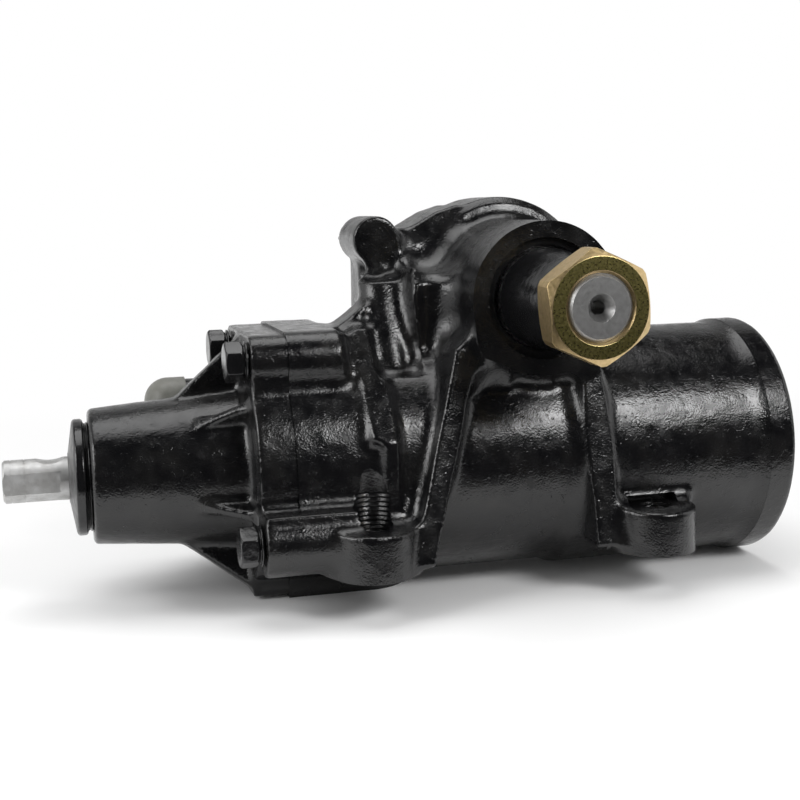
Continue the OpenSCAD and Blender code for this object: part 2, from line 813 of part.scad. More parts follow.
// Input shaft, with its spool inside the valve sleeve
module input_shaft() {
    rim = 1;
    notch_r = 13;
    notch_depth = 1;
    notch_x = -input_reach + 20.5;
    flat_end = land_x - 1;
    journal_x = -nose_reach - 2;
    bar_bore = torsion_bar_r + 0.3;
    slot_w = 4;
    slot_d = 1.6;
    color(bare_steel) gear_frame() difference() {
        along_x(0) rotate_extrude() polygon([
            [0, -input_reach], [input_r - rim, -input_reach], [input_r, -input_reach + rim],
            [input_r, land_x], [land_r, land_x], [land_r, journal_x],
            [journal_r, journal_x + 2], [journal_r, sleeve_front - over],
            [spool_r, sleeve_front - over], [spool_r, sleeve_rear - over], [0, sleeve_rear - over]
        ]);
        translate([-input_reach - over, -input_r - 20, -2 * input_r])
            cube([input_reach + over + flat_end, 20 + input_flat_depth, 4 * input_r]);
        translate([notch_x, 0, input_r + notch_r - notch_depth]) rod_y(-2 * input_r, 2 * input_r, notch_r);
        rod_x(-input_reach + 12, sleeve_rear, bar_bore);
        for (turn = [0 : 60 : 300])
            rotate([turn, 0, 0]) translate([sleeve_front + 13, -slot_w / 2, spool_r - slot_d])
                cube([sleeve_l - 26, slot_w, 2 * slot_d]);
    }
}

module torsion_bar() {
    head_l = 12;
    color(bare_steel) gear_frame() {
        rod_x(-input_reach + 13, worm_flange_rear + 12, torsion_bar_r - 0.6);
        rod_x(worm_flange_front - worm_head_t + 1, worm_flange_rear + 12, torsion_bar_r);
        rod_x(-input_reach + 13, -input_reach + 13 + head_l, torsion_bar_r);
    }
}

module torsion_bar_pin() {
    color(ground_steel) gear_frame() translate([worm_flange_rear + 5, 0, 0])
        for (span = [[-worm_r + 1, -torsion_bar_r], [torsion_bar_r, worm_r - 1]])
            rod_z(span[0], span[1], 2);
}

module valve_sleeve() {
    land = sleeve_l / 7;
    color(ground_steel) gear_frame() difference() {
        rod_x(sleeve_front, sleeve_rear, sleeve_r);
        rod_x(sleeve_front - over, sleeve_rear + over, spool_r + run_gap);
        for (i = [1, 3, 5]) {
            tube_x(sleeve_front + i * land, sleeve_front + (i + 1) * land, sleeve_r - 2, sleeve_r + 2);
            for (turn = [0 : 90 : 270])
                rotate([turn, 0, 0]) translate([sleeve_front + (i + 0.5) * land, 0, 0])
                    rod_z(spool_r - over, sleeve_r, 2.5);
        }
        for (i = [0, 2, 4, 6])
            tube_x(sleeve_front + (i + 0.4) * land, sleeve_front + (i + 0.65) * land,
                sleeve_r - 1.6, sleeve_r + 2);
        translate([0, 0, drive_pin_z]) rod_x(sleeve_rear - 4, sleeve_rear + over, drive_pin_r + seat_gap);
    }
}

module valve_sleeve_rings() {
    land = sleeve_l / 7;
    color(ptfe_grey) gear_frame() for (i = [0, 2, 4, 6])
        tube_x(sleeve_front + (i + 0.4) * land, sleeve_front + (i + 0.65) * land,
            sleeve_r - 1.6, sleeve_r + run_gap / 3);
}

module sleeve_drive_pin() {
    color(ground_steel) gear_frame() translate([0, 0, drive_pin_z])
        rod_x(sleeve_rear - 3.5, sleeve_rear + 3.5, drive_pin_r);
}

// Section of the worm across its axis: a round bar with one groove wound round it
function groove_floor(turn) = let (along = worm_lead * turn / 360)
    abs(along) < groove_r ? ball_circle_r - sqrt(groove_r * groove_r - along * along) : worm_r;
function worm_section(count) = [for (i = [0 : count - 1])
    let (turn = i * 360 / count - 180, r = min(worm_r, groove_floor(turn))) [r * cos(turn), r * sin(turn)]];

module worm_shaft() {
    thread_start = web_rear - 1;
    thread_l = worm_tip_x - thread_start;
    section_points = 20;
    steps_per_turn = 12;
    head_r = thrust_bore_r - 0.8;
    turns = thread_l / worm_lead;
    color(ground_steel) gear_frame() difference() {
        union() {
            along_x(thread_start) rotate(-90) linear_extrude(thread_l, twist = -360 * turns,
                slices = round(turns * steps_per_turn), $fn = 20) polygon(worm_section(section_points));
            rod_x(worm_flange_rear - over, thread_start, worm_r);
            rod_x(worm_flange_front, worm_flange_rear, thrust_r - 1);
            rod_x(sleeve_rear, worm_flange_front + over, head_r);
        }
        rod_x(sleeve_rear - over, worm_flange_rear + 12, torsion_bar_r + seat_gap);
        translate([worm_flange_rear + 5, 0, 0]) rod_z(-2 * worm_r, 2 * worm_r, 2 + seat_gap);
        translate([0, 0, drive_pin_z]) rod_x(sleeve_rear - over, sleeve_rear + 4, drive_pin_r + seat_gap);
    }
}

// Rack piston
function rack_half(z) = tooth_pitch / 4 + (z - rack_pitch_z) * tan(pressure_angle);

module rack_piston() {
    rack_cut_z = piston_r + 3;
    ring_x = piston_tail - 12;
    guide_w = 22;
    guide_z = -nut_bore_r - 10;
    rim = 1.5;
    color(ground_steel) gear_frame() difference() {
        along_x(0) rotate_extrude() polygon([
            [0, -piston_nose], [piston_r - rim, -piston_nose], [piston_r, -piston_nose + rim],
            [piston_r, piston_tail - rim], [piston_r - rim, piston_tail], [0, piston_tail]
        ]);
        rod_x(-piston_nose - over, piston_tail + over, nut_bore_r);
        across(-bore_r, bore_r) for (i = [-1, 0, 1])
            translate([i * tooth_pitch, 0]) polygon([
                [-rack_half(rack_root_z), rack_root_z], [rack_half(rack_root_z), rack_root_z],
                [rack_half(rack_cut_z), rack_cut_z], [-rack_half(rack_cut_z), rack_cut_z]
            ]);
        tube_x(ring_x, ring_x + 3, piston_r - 3, piston_r + 3);
        translate([guide_x0 - 8, -guide_w / 2, -piston_r - over])
            cube([guide_x1 - guide_x0 + 16, guide_w, piston_r + over + guide_z]);
        for (x = [guide_x0, guide_x1])
            translate([x, 0, 0]) rod_z(guide_z - over, -nut_bore_r + 2, guide_r + seat_gap);
    }
}

module piston_ring() {
    ring_x = piston_tail - 12;
    color(ptfe_grey) gear_frame() tube_x(ring_x, ring_x + 3, piston_r - 3, piston_r + run_gap / 3);
}

module piston_end_plug() {
    color(ground_steel) gear_frame() difference() {
        rod_x(piston_tail - piston_plug_t, piston_tail, nut_bore_r - seat_gap);
        endwise(piston_tail - 4, piston_tail + over) square(12.7, center = true);
    }
}

module recirculating_balls() {
    count = round(ball_turns * balls_per_turn);
    phase = 360 * (ball_start_x - (web_rear - 1)) / worm_lead;
    color(bare_steel) gear_frame() for (i = [0 : count - 1]) {
        turn = i * 360 / balls_per_turn;
        along_x(ball_start_x + worm_lead * turn / 360) rotate(-90 + phase + turn)
            translate([ball_circle_r, 0, 0]) sphere(r = ball_r, $fn = 24);
    }
}

// Ball return guide on the underside of the rack piston
guide_r = 4.2;
guide_x0 = -38;
guide_x1 = 2;

module ball_return_guide() {
    low_z = -nut_bore_r - 10 - 0.1;
    leg_top = -nut_bore_r - 0.2;
    bow_z = low_z - 2;
    color(bare_steel) gear_frame() {
        for (x = [guide_x0, guide_x1]) translate([x, 0, 0]) rod_z(bow_z - 6, leg_top, guide_r);
        translate([0, 0, bow_z - 6]) rod_x(guide_x0 - guide_r, guide_x1 + guide_r, guide_r);
    }
}

module return_guide_clamp() {
    clamp_l = 16;
    mid_x = (guide_x0 + guide_x1) / 2;
    low_z = -nut_bore_r - 10;
    color(bare_steel) gear_frame() difference() {
        translate([mid_x - clamp_l / 2, -10, low_z - 12.4]) cube([clamp_l, 20, 12.4]);
        translate([0, 0, low_z - 8.1]) rod_x(mid_x - clamp_l, mid_x + clamp_l, guide_r + seat_gap);
    }
}

// Cross shaft with its sector teeth
base_r = pitch_r * cos(pressure_angle);
function involute(angle) = tan(angle) * 180 / PI - angle;
half_tooth = (tooth_pitch / 2 - backlash) / (2 * pitch_r) * 180 / PI;
function flank_angle(r) = half_tooth + involute(pressure_angle) - involute(acos(min(1, base_r / r)));
function on_sector(r, angle) = [r * sin(angle), -r * cos(angle)];

module sector_tooth() {
    steps = 5;
    radii = [for (i = [0 : steps]) base_r + (tip_r - base_r) * i / steps];
    rising = [for (r = radii) on_sector(r, -flank_angle(r))];
    falling = [for (i = [steps : -1 : 0]) on_sector(radii[i], flank_angle(radii[i]))];
    foot = root_r - 3;
    inner = flank_angle(base_r);
    polygon(concat([on_sector(foot, -inner)], rising, falling, [on_sector(foot, inner)]));
}

module sector_shaft() {
    centre_r = 3;
    rim = 1;
    fan = pitch_angle + 17;
    far_r = 3 * root_r;
    color(ground_steel) gear_frame() cross_shaft() difference() {
        union() {
            along_y(0) rotate_extrude() polygon([
                [0, -shaft_tip], [thread_r - rim, -shaft_tip], [thread_r, -shaft_tip + rim],
                [thread_r, -taper_end],
                [taper_tip_r, -taper_end], [shaft_r, -taper_start], [shaft_r, sector_w / 2],
                [journal_rear_r, sector_w / 2], [journal_rear_r, journal_rear_y], [0, journal_rear_y]
            ]);
            across(-sector_w / 2, sector_w / 2) {
                intersection() {
                    circle(r = root_r);
                    polygon([[0, 0], on_sector(far_r, -fan), on_sector(far_r, 0), on_sector(far_r, fan)]);
                }
                for (i = [-1, 0, 1]) rotate(i * pitch_angle) sector_tooth();
            }
        }
        rod_y(adjuster_pocket_y, journal_rear_y + over, adjuster_head_r + 0.4);
        rod_y(-shaft_tip - over, -shaft_tip + 9, centre_r);
        along_y(-shaft_tip - 0.01) cylinder(h = centre_r, r1 = 2 * centre_r, r2 = centre_r);
    }
}

module pitman_nut() {
    color(yellow_zinc) gear_frame() cross_shaft() difference() {
        rotate([0, nut_corner_turn, 0]) along_y(-nut_seat - nut_t) hex_head(nut_af, nut_t, 2.2);
        rod_y(-nut_seat - nut_t - over, -nut_seat + over, thread_r + seat_gap);
    }
}

module pitman_lock_washer() {
    color(bare_steel) gear_frame() cross_shaft()
        tube_y(-nut_seat, -taper_end, thread_r + 0.3, washer_r);
}

main_housing();
valve_housing();
valve_housing_bolts();
valve_housing_seal();
dust_seal();
input_seal_snap_ring();
input_shaft_seal();
input_needle_bearing();
upper_thrust_bearing();
lower_thrust_bearing();
pressure_port_cap();
return_port_cap();
side_cover();
side_cover_bolts();
side_cover_seal();
side_cover_bushing();
lash_adjuster_screw();
lash_adjuster_nut();
sector_needle_bearing();
sector_shaft_seal();
sector_seal_washer();
sector_seal_retaining_ring();
end_plug();
end_plug_seal();
end_plug_retaining_ring();
input_shaft();
torsion_bar();
torsion_bar_pin();
valve_sleeve();
valve_sleeve_rings();
sleeve_drive_pin();
worm_shaft();
rack_piston();
piston_ring();
recirculating_balls();
ball_return_guide();
return_guide_clamp();
piston_end_plug();
sector_shaft();
pitman_nut();
pitman_lock_washer();
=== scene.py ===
# %% [markdown]
# # A power steering gearbox
# The gear is a black enamelled casting with a bright input shaft on the left and a
# tapered output shaft with a gold nut in front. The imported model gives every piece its
# true place, so this lesson only gives each piece its skin: soft cast edges, sharp
# machined faces, threads, paint and plating.

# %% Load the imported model
import json
import math

import bmesh
import bpy
import numpy as np
import openvdb
from mathutils import Matrix, Vector


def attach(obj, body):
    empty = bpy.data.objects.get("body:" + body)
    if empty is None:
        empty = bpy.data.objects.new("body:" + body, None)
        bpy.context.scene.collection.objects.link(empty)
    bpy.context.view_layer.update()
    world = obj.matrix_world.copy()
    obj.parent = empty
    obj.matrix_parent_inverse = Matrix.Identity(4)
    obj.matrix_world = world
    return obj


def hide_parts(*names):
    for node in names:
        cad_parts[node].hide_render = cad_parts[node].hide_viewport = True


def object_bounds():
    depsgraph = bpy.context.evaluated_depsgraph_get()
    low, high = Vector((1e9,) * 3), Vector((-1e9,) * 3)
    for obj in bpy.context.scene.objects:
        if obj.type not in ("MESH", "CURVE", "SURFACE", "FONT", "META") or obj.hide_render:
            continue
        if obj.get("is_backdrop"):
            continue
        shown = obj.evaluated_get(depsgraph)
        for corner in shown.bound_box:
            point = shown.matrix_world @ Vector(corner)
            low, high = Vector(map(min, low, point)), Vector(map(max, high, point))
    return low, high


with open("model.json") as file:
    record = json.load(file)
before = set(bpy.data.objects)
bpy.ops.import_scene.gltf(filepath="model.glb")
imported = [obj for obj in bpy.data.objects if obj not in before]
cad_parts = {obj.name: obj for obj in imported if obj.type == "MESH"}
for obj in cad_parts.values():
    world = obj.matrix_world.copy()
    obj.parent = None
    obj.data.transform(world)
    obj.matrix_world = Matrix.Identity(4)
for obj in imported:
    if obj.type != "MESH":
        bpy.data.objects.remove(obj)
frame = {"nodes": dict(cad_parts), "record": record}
cad_low, cad_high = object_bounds()
nodes = frame["nodes"]
print("nodes", len(nodes), "box", [round(v, 4) for v in (*cad_low, *cad_high)])

# %% [markdown]
# ## The camera
# The photograph was taken from the front left, a little above the shafts. The camera could
# be placed by eye, but the nut, the ears and the round ends fix it well enough to be
# measured, so its angles, distance and lens are written down here as they were found.

# %% Camera at the photograph's place
AZIMUTH, ELEVATION, ROLL = (math.radians(a) for a in (14.951, 8.601, -1.089))
AIM = Vector((-0.058858, 0.075, -0.052876))
DISTANCE = 0.661685
LENS_MM, SENSOR_MM = 58.572, 36.0

sight = Vector((math.sin(AZIMUTH) * math.cos(ELEVATION),
                math.cos(AZIMUTH) * math.cos(ELEVATION), -math.sin(ELEVATION)))
level = Vector((math.cos(AZIMUTH), -math.sin(AZIMUTH), 0))
rise = level.cross(sight)
across = level * math.cos(ROLL) + rise * math.sin(ROLL)
upward = rise * math.cos(ROLL) - level * math.sin(ROLL)

camera_data = bpy.data.cameras.new("photo_camera")
camera_data.lens, camera_data.sensor_width = LENS_MM, SENSOR_MM
camera_data.clip_start, camera_data.clip_end = 0.01, 50
camera = bpy.data.objects.new("photo_camera", camera_data)
turn = Matrix((across, upward, -sight)).transposed().to_4x4()
camera.matrix_world = Matrix.Translation(AIM - sight * DISTANCE) @ turn
bpy.context.scene.collection.objects.link(camera)
bpy.context.scene.camera = camera
print("camera at", [round(v, 4) for v in camera.matrix_world.translation])

# %% [markdown]
# ## The studio
# Black gloss paint shows what stands around it rather than its own colour, so the studio
# shapes the picture. The sky could be one bright white, but that much light would wash the
# colours out. So it is white where it is seen or mirrored, and dimmer as a light.

# %% White sky
scene = bpy.context.scene
scene.view_settings.view_transform = "Standard"
SKY_LIGHT, SKY_SEEN = 0.45, 1.0


def node_tree(owner):
    owner.use_nodes = True
    owner.node_tree.nodes.clear()
    return owner.node_tree.nodes, owner.node_tree.links


def seen_directly(shader_nodes, links):
    """1 for rays of the camera, of a mirror and of glass, and 0 for soft bounced light."""
    path = shader_nodes.new("ShaderNodeLightPath")
    first = shader_nodes.new("ShaderNodeMath")
    second = shader_nodes.new("ShaderNodeMath")
    first.operation = second.operation = "MAXIMUM"
    links.new(path.outputs["Is Camera Ray"], first.inputs[0])
    links.new(path.outputs["Is Glossy Ray"], first.inputs[1])
    links.new(first.outputs[0], second.inputs[0])
    links.new(path.outputs["Is Transmission Ray"], second.inputs[1])
    return second.outputs[0]


world = bpy.data.worlds.new("white_studio")
scene.world = world
sky_nodes, sky_links = node_tree(world)
sky_mix = sky_nodes.new("ShaderNodeMixShader")
sky_out = sky_nodes.new("ShaderNodeOutputWorld")
for socket, strength in ((1, SKY_LIGHT), (2, SKY_SEEN)):
    sky = sky_nodes.new("ShaderNodeBackground")
    sky.inputs["Color"].default_value = (1, 1, 1, 1)
    sky.inputs["Strength"].default_value = strength
    sky_links.new(sky.outputs[0], sky_mix.inputs[socket])
sky_links.new(seen_directly(sky_nodes, sky_links), sky_mix.inputs["Fac"])
sky_links.new(sky_mix.outputs[0], sky_out.inputs["Surface"])
print("sky lights at", SKY_LIGHT)

# %% [markdown]
# ## The floor
# The gear stands on a large matt sheet. A plain white floor turns grey where it recedes. So
# away from the gear it fades to pure white for the eye and for mirrors, while near the gear
# it stays a real floor and takes the shadow.

# %% Pale floor
FLOOR_Z = cad_low.z
FLOOR_HALF, FLOOR_TONE = 4.0, 0.93
FADE_START, FADE_END = 0.30, 0.80


def flat_panel(name, corners):
    mesh = bpy.data.meshes.new(name)
    mesh.from_pydata(corners, [], [tuple(range(len(corners)))])
    panel = bpy.data.objects.new(name, mesh)
    scene.collection.objects.link(panel)
    panel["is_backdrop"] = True
    return panel


def stage_paint(name, tone):
    """A matt grey without any gloss."""
    paint = bpy.data.materials.new(name)
    paint_nodes, paint_links = node_tree(paint)
    shader = paint_nodes.new("ShaderNodeBsdfPrincipled")
    shader.inputs["Base Color"].default_value = (tone, tone, tone, 1)
    shader.inputs["Roughness"].default_value = 0.9
    shader.inputs["Specular IOR Level"].default_value = 0.0
    out = paint_nodes.new("ShaderNodeOutputMaterial")
    paint_links.new(shader.outputs[0], out.inputs["Surface"])
    return paint


floor = flat_panel("floor", [(x * FLOOR_HALF, y * FLOOR_HALF, FLOOR_Z)
                             for x, y in ((-1, -1), (1, -1), (1, 1), (-1, 1))])
pale_floor = stage_paint("pale_floor", FLOOR_TONE)
floor_nodes, floor_links = pale_floor.node_tree.nodes, pale_floor.node_tree.links
floor_shader = next(n for n in floor_nodes if n.type == "BSDF_PRINCIPLED")
floor_out = next(n for n in floor_nodes if n.type == "OUTPUT_MATERIAL")
floor_place = floor_nodes.new("ShaderNodeTexCoord")
floor_reach = floor_nodes.new("ShaderNodeVectorMath")
floor_reach.operation = "LENGTH"
floor_fade = floor_nodes.new("ShaderNodeMapRange")
floor_fade.interpolation_type = "SMOOTHSTEP"
for socket, number in zip(floor_fade.inputs[1:5], (FADE_START, FADE_END, 0.0, 1.0)):
    socket.default_value = number
floor_share = floor_nodes.new("ShaderNodeMath")
floor_share.operation = "MULTIPLY"
floor_white = floor_nodes.new("ShaderNodeEmission")
floor_mix = floor_nodes.new("ShaderNodeMixShader")
floor_links.new(floor_place.outputs["Object"], floor_reach.inputs[0])
floor_links.new(floor_reach.outputs["Value"], floor_fade.inputs[0])
floor_links.new(floor_fade.outputs[0], floor_share.inputs[0])
floor_links.new(seen_directly(floor_nodes, floor_links), floor_share.inputs[1])
floor_links.new(floor_share.outputs[0], floor_mix.inputs["Fac"])
floor_links.new(floor_shader.outputs[0], floor_mix.inputs[1])
floor_links.new(floor_white.outputs[0], floor_mix.inputs[2])
floor_links.new(floor_mix.outputs[0], floor_out.inputs["Surface"])
floor.data.materials.append(pale_floor)
print("floor at", round(FLOOR_Z, 4))

# %% [markdown]
# ## Cloths
# A photographer hangs black cloth where gloss paint should stay black. Here a flag stands
# behind the camera, one cloth hangs under the ceiling and a card leans in front of the
# gear, and a grey drop at the back tones down the tops. Darker paint would not do the same,
# because gloss mirrors whatever is there. The cloths are seen in mirrors only.

# %% Black and grey cloths
CLOTH_LEFT, CLOTH_RIGHT = -1.6, 1.9
FLAG_Y, BACK_Y, CEILING_Z = -1.1, 1.3, 1.5


def hung(name, left, right, first_edge, second_edge, paint):
    """A cloth between two level edges, each given as (y, z)."""
    cloth = flat_panel(name, [(left, *first_edge), (right, *first_edge),
                              (right, *second_edge), (left, *second_edge)])
    cloth.data.materials.append(paint)
    cloth.visible_camera = cloth.visible_diffuse = cloth.visible_shadow = False


black_cloth, grey_cloth = stage_paint("black_cloth", 0.006), stage_paint("grey_cloth", 0.6)
hung("flag", CLOTH_LEFT, CLOTH_RIGHT, (FLAG_Y, -0.12), (FLAG_Y, CEILING_Z), black_cloth)
hung("ceiling", CLOTH_LEFT, CLOTH_RIGHT, (FLAG_Y, CEILING_Z), (BACK_Y, CEILING_Z), black_cloth)
hung("card", -0.5, 0.6, (-0.10, FLOOR_Z), (-0.30, 0.06), black_cloth)
hung("back_drop", CLOTH_LEFT, CLOTH_RIGHT, (BACK_Y, 0.12), (BACK_Y, CEILING_Z), grey_cloth)
print("four cloths hung")

# %% [markdown]
# ## Lights
# Small lamps would leave hard points on the gloss. Area lights act as a studio's soft boxes:
# one overhead, one on the left, and a small one high in front, which draws the broad streak
# along the cylinder.

# %% Soft boxes
def softbox(name, place, aim, width, height, watts):
    lamp_data = bpy.data.lights.new(name, "AREA")
    lamp_data.shape = "RECTANGLE"
    lamp_data.size, lamp_data.size_y = width, height
    lamp_data.energy = watts
    lamp = bpy.data.objects.new(name, lamp_data)
    lamp.location = place
    lamp.rotation_euler = (Vector(aim) - Vector(place)).to_track_quat("-Z", "Y").to_euler()
    scene.collection.objects.link(lamp)


softbox("overhead_softbox", (-0.1, 0.25, 1.1), (-0.06, 0.06, 0), 1.2, 0.8, 8)
softbox("left_softbox", (-1.1, -0.25, 0.55), (-0.06, 0.06, -0.03), 0.6, 0.6, 5)
softbox("front_softbox", (0.42, -0.74, 0.56), (0.04, 0.02, -0.05), 0.42, 0.34, 5.8)
print("soft boxes lit")

# %% [markdown]
# ## Casting tools
# A sand casting has no sharp corners: inner corners are filled by a fillet and outer ones
# are rounded off, while drilled and milled faces are cut afterwards and stay sharp. A bevel
# modifier can't fill inner corners where solids cross. A distance field can: growing a
# solid by some radius and shrinking it again fills every inner corner with that radius,
# and shrinking then growing rounds the outer ones. Blender carries the openvdb module for
# this, so each casting is plugged and thickened where it will be machined, rounded as a
# field, and then cut.

# %% Meshes as points and triangles
MM = 0.001
WORM_Y, WORM_Z = 0.075, -0.0811


def soup_of(obj):
    """Points and triangles of an object's mesh."""
    mesh = obj.data
    mesh.calc_loop_triangles()
    points = np.zeros(len(mesh.vertices) * 3, np.float32)
    mesh.vertices.foreach_get("co", points)
    corners = np.zeros(len(mesh.loop_triangles) * 3, np.int32)
    mesh.loop_triangles.foreach_get("vertices", corners)
    return points.reshape(-1, 3), corners.reshape(-1, 3)


def joined(soups):
    points, corners, start = [], [], 0
    for some_points, some_corners in soups:
        points.append(some_points)
        corners.append(some_corners + start)
        start += len(some_points)
    return np.vstack(points).astype(np.float32), np.vstack(corners).astype(np.uint32)


print("worm axis at", WORM_Y, WORM_Z)

# %% [markdown]
# ## Turned and flat solids
# Stock, cutters and turned pieces all start as simple solids: rods, rings and blocks. Blender
# has such shapes ready-made, but as lists of points they can be joined, rounded and cut
# before any object exists.

# %% Rods, rings and blocks
AXES = {"x": (1, 2, 0), "y": (2, 0, 1), "z": (0, 1, 2)}


def lathe(axis, centre, profile, sides=96):
    """A closed turned solid: profile is a list of (radius, place along the axis)."""
    first, second, along = AXES[axis]
    rings = []
    for radius, place in profile:
        angles = np.arange(sides) * 2 * math.pi / sides
        ring = np.zeros((sides, 3))
        ring[:, first] = centre[first] + radius * np.cos(angles)
        ring[:, second] = centre[second] + radius * np.sin(angles)
        ring[:, along] = place
        rings.append(ring)
    ends = np.zeros((2, 3))
    for end, place in zip(ends, (profile[0][1], profile[-1][1])):
        end[first], end[second], end[along] = centre[first], centre[second], place
    points = np.vstack(rings + [ends])
    low, high = len(points) - 2, len(points) - 1
    corners = []
    for i in range(sides):
        j = (i + 1) % sides
        corners.append((low, j, i))
        for k in range(len(profile) - 1):
            a, b = k * sides, (k + 1) * sides
            corners += [(a + i, a + j, b + j), (a + i, b + j, b + i)]
        top = (len(profile) - 1) * sides
        corners.append((high, top + i, top + j))
    return points.astype(np.float32), np.array(corners, np.int32)


def ring(axis, centre, outline, sides=128):
    """A turned solid with a hole: outline is a closed loop of (radius, place along the axis)."""
    first, second, along = AXES[axis]
    angles = np.arange(sides) * 2 * math.pi / sides
    points = np.zeros((len(outline), sides, 3))
    for row, (radius, place) in zip(points, outline):
        row[:, first] = centre[first] + radius * np.cos(angles)
        row[:, second] = centre[second] + radius * np.sin(angles)
        row[:, along] = place
    faces = []
    for k in range(len(outline)):
        a, b = k * sides, (k + 1) % len(outline) * sides
        faces += [(a + i, a + (i + 1) % sides, b + (i + 1) % sides, b + i) for i in range(sides)]
    return points.reshape(-1, 3), np.array(faces)


def in_mm(outline):
    return [(radius * MM, place * MM) for radius, place in outline]


def rod(axis, centre, radius, low, high):
    return lathe(axis, centre, [(radius, low), (radius, high)])


def block(low, high):
    points = np.array([[(low, high)[(i >> k) & 1][k] for k in range(3)] for i in range(8)], np.float32)
    corners = np.array([(0, 2, 1), (1, 2, 3), (4, 5, 6), (5, 7, 6), (0, 1, 4), (1, 5, 4),
                        (2, 6, 3), (3, 6, 7), (0, 4, 2), (2, 4, 6), (1, 3, 5), (3, 7, 5)], np.int32)
    return points, corners


print("solids along", *AXES)

# %% [markdown]
# ## Rounding
# A foundry leaves extra metal on each face that is milled later. Here such a face is found on
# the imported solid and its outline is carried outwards. Then the whole pile is turned into a
# distance field, which is grown and shrunk by the radii of its fillets and edges.

# %% Milling stock and cast skin
def face_stock(obj, axis, plane, depth):
    """Extra metal on a face that will be milled: the face's own outline, carried outwards."""
    overlap, flatness = 1.5 * MM, 2e-5
    points, corners = soup_of(obj)
    along = AXES[axis][2]
    flat = np.abs(points[:, along] - plane) < flatness
    lid = corners[flat[corners].all(axis=1)]
    sign = 1 if depth > 0 else -1
    keys, welded = np.unique(np.round(points * 1e6).astype(np.int64), axis=0, return_inverse=True)
    points = keys / 1e6
    lid = welded.ravel()[lid]
    used, lid = np.unique(lid, return_inverse=True)
    lid = lid.reshape(-1, 3)
    near, far = points[used].copy(), points[used].copy()
    near[:, along] = plane - sign * overlap
    far[:, along] = plane + depth
    count = len(used)
    edges = {}
    for a, b, c in lid:
        for e in ((a, b), (b, c), (c, a)):
            edges[e] = edges.get(e, 0) + 1
    rim = [e for e in edges if (e[1], e[0]) not in edges]
    walls = [t for a, b in rim for t in ((a, b, b + count), (a, b + count, a + count))]
    corners = np.vstack([lid[:, ::-1], lid + count, np.array(walls)])
    return np.vstack([near, far]).astype(np.float32), corners.astype(np.int32)


def cast_skin(soups, fillet, edge, voxel):
    """Rounds a pile of solids: fillet fills inner corners, edge rounds outer ones."""
    scale = openvdb.createLinearTransform(voxelSize=voxel)
    band = (fillet + edge) / voxel + 3
    points, corners = joined(soups)
    field = openvdb.FloatGrid.createLevelSetFromPolygons(
        points, triangles=corners, transform=scale, halfWidth=band)
    for shift in (fillet, -fillet - edge, edge):
        points, quads = field.convertToQuads(isovalue=shift)
        if shift != edge:
            field = openvdb.FloatGrid.createLevelSetFromPolygons(
                points, quads=quads, transform=scale, halfWidth=band)
    return points, quads


print("rounding ready")

# %% [markdown]
# ## Cutting
# Machined faces come from boolean cuts. A boolean needs closed solids whose faces look
# outwards, so each solid's signed volume is checked as it is made. All the cutters of one
# operation are joined first, because one cut through a heavy casting is quicker than many.

# %% Cutting tools
def volume_of(points, faces):
    """Signed volume of a closed mesh: negative where its faces look inwards."""
    total = 0.0
    for k in range(1, faces.shape[1] - 1):
        a, b, c = (points[faces[:, i]] for i in (0, k, k + 1))
        total += np.einsum("ij,ij->", a, np.cross(b, c)) / 6
    return total


def solid_object(name, points, faces):
    """A closed solid whose faces look outwards, as the cutting tools need."""
    points, faces = np.asarray(points, float), np.asarray(faces)
    if volume_of(points, faces) < 0:
        faces = faces[:, ::-1]
    mesh = bpy.data.meshes.new(name)
    mesh.from_pydata(points.tolist(), [], faces.tolist())
    mesh.validate()
    solid = bpy.data.objects.new(name, mesh)
    scene.collection.objects.link(solid)
    return solid


def copied(node_name, name):
    """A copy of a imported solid, with its corners welded."""
    mesh = nodes[node_name].data.copy()
    work = bmesh.new()
    work.from_mesh(mesh)
    bmesh.ops.remove_doubles(work, verts=work.verts, dist=1e-6)
    work.to_mesh(mesh)
    work.free()
    copy = bpy.data.objects.new(name, mesh)
    scene.collection.objects.link(copy)
    return copy


def applied(solid):
    """Replaces a mesh by what its modifiers make of it."""
    shown = solid.evaluated_get(bpy.context.evaluated_depsgraph_get())
    shaped = bpy.data.meshes.new_from_object(shown)
    old = solid.data
    solid.modifiers.clear()
    solid.data = shaped
    shaped.name = solid.name
    bpy.data.meshes.remove(old)
    return solid


def combine(solid, other, operation):
    cut = solid.modifiers.new("machining", "BOOLEAN")
    cut.operation, cut.solver, cut.object = operation, "MANIFOLD", other
    applied(solid)
    spent = other.data
    bpy.data.objects.remove(other)
    bpy.data.meshes.remove(spent)
    return solid


def machined(casting, cutters):
    tool = None
    for points, corners in cutters:
        piece = solid_object("cutter", points, corners)
        tool = piece if tool is None else combine(tool, piece, "UNION")
    return combine(casting, tool, "DIFFERENCE")


def shade(solid, crease_degrees):
    solid.data.shade_smooth()
    solid.data.set_sharp_from_angle(angle=math.radians(crease_degrees))


print("cutting tools ready")

# %% [markdown]
# ## Tools for finishes
# Paint, plating and rubber are never one even colour. Pictures could be wrapped round the
# pieces, but noise that is worked out in place needs no unwrapping and shows no seams. These
# tools mix two tones, vary the gloss and raise a fine relief.

# %% Finish tools
def new_finish(name, colour, metallic, roughness):
    finish = bpy.data.materials.new(name)
    finish_nodes, links = node_tree(finish)
    shader = finish_nodes.new("ShaderNodeBsdfPrincipled")
    shader.inputs["Base Color"].default_value = (*colour, 1)
    shader.inputs["Metallic"].default_value = metallic
    shader.inputs["Roughness"].default_value = roughness
    out = finish_nodes.new("ShaderNodeOutputMaterial")
    links.new(shader.outputs[0], out.inputs["Surface"])
    finish.diffuse_color = (*colour, 1)
    return finish


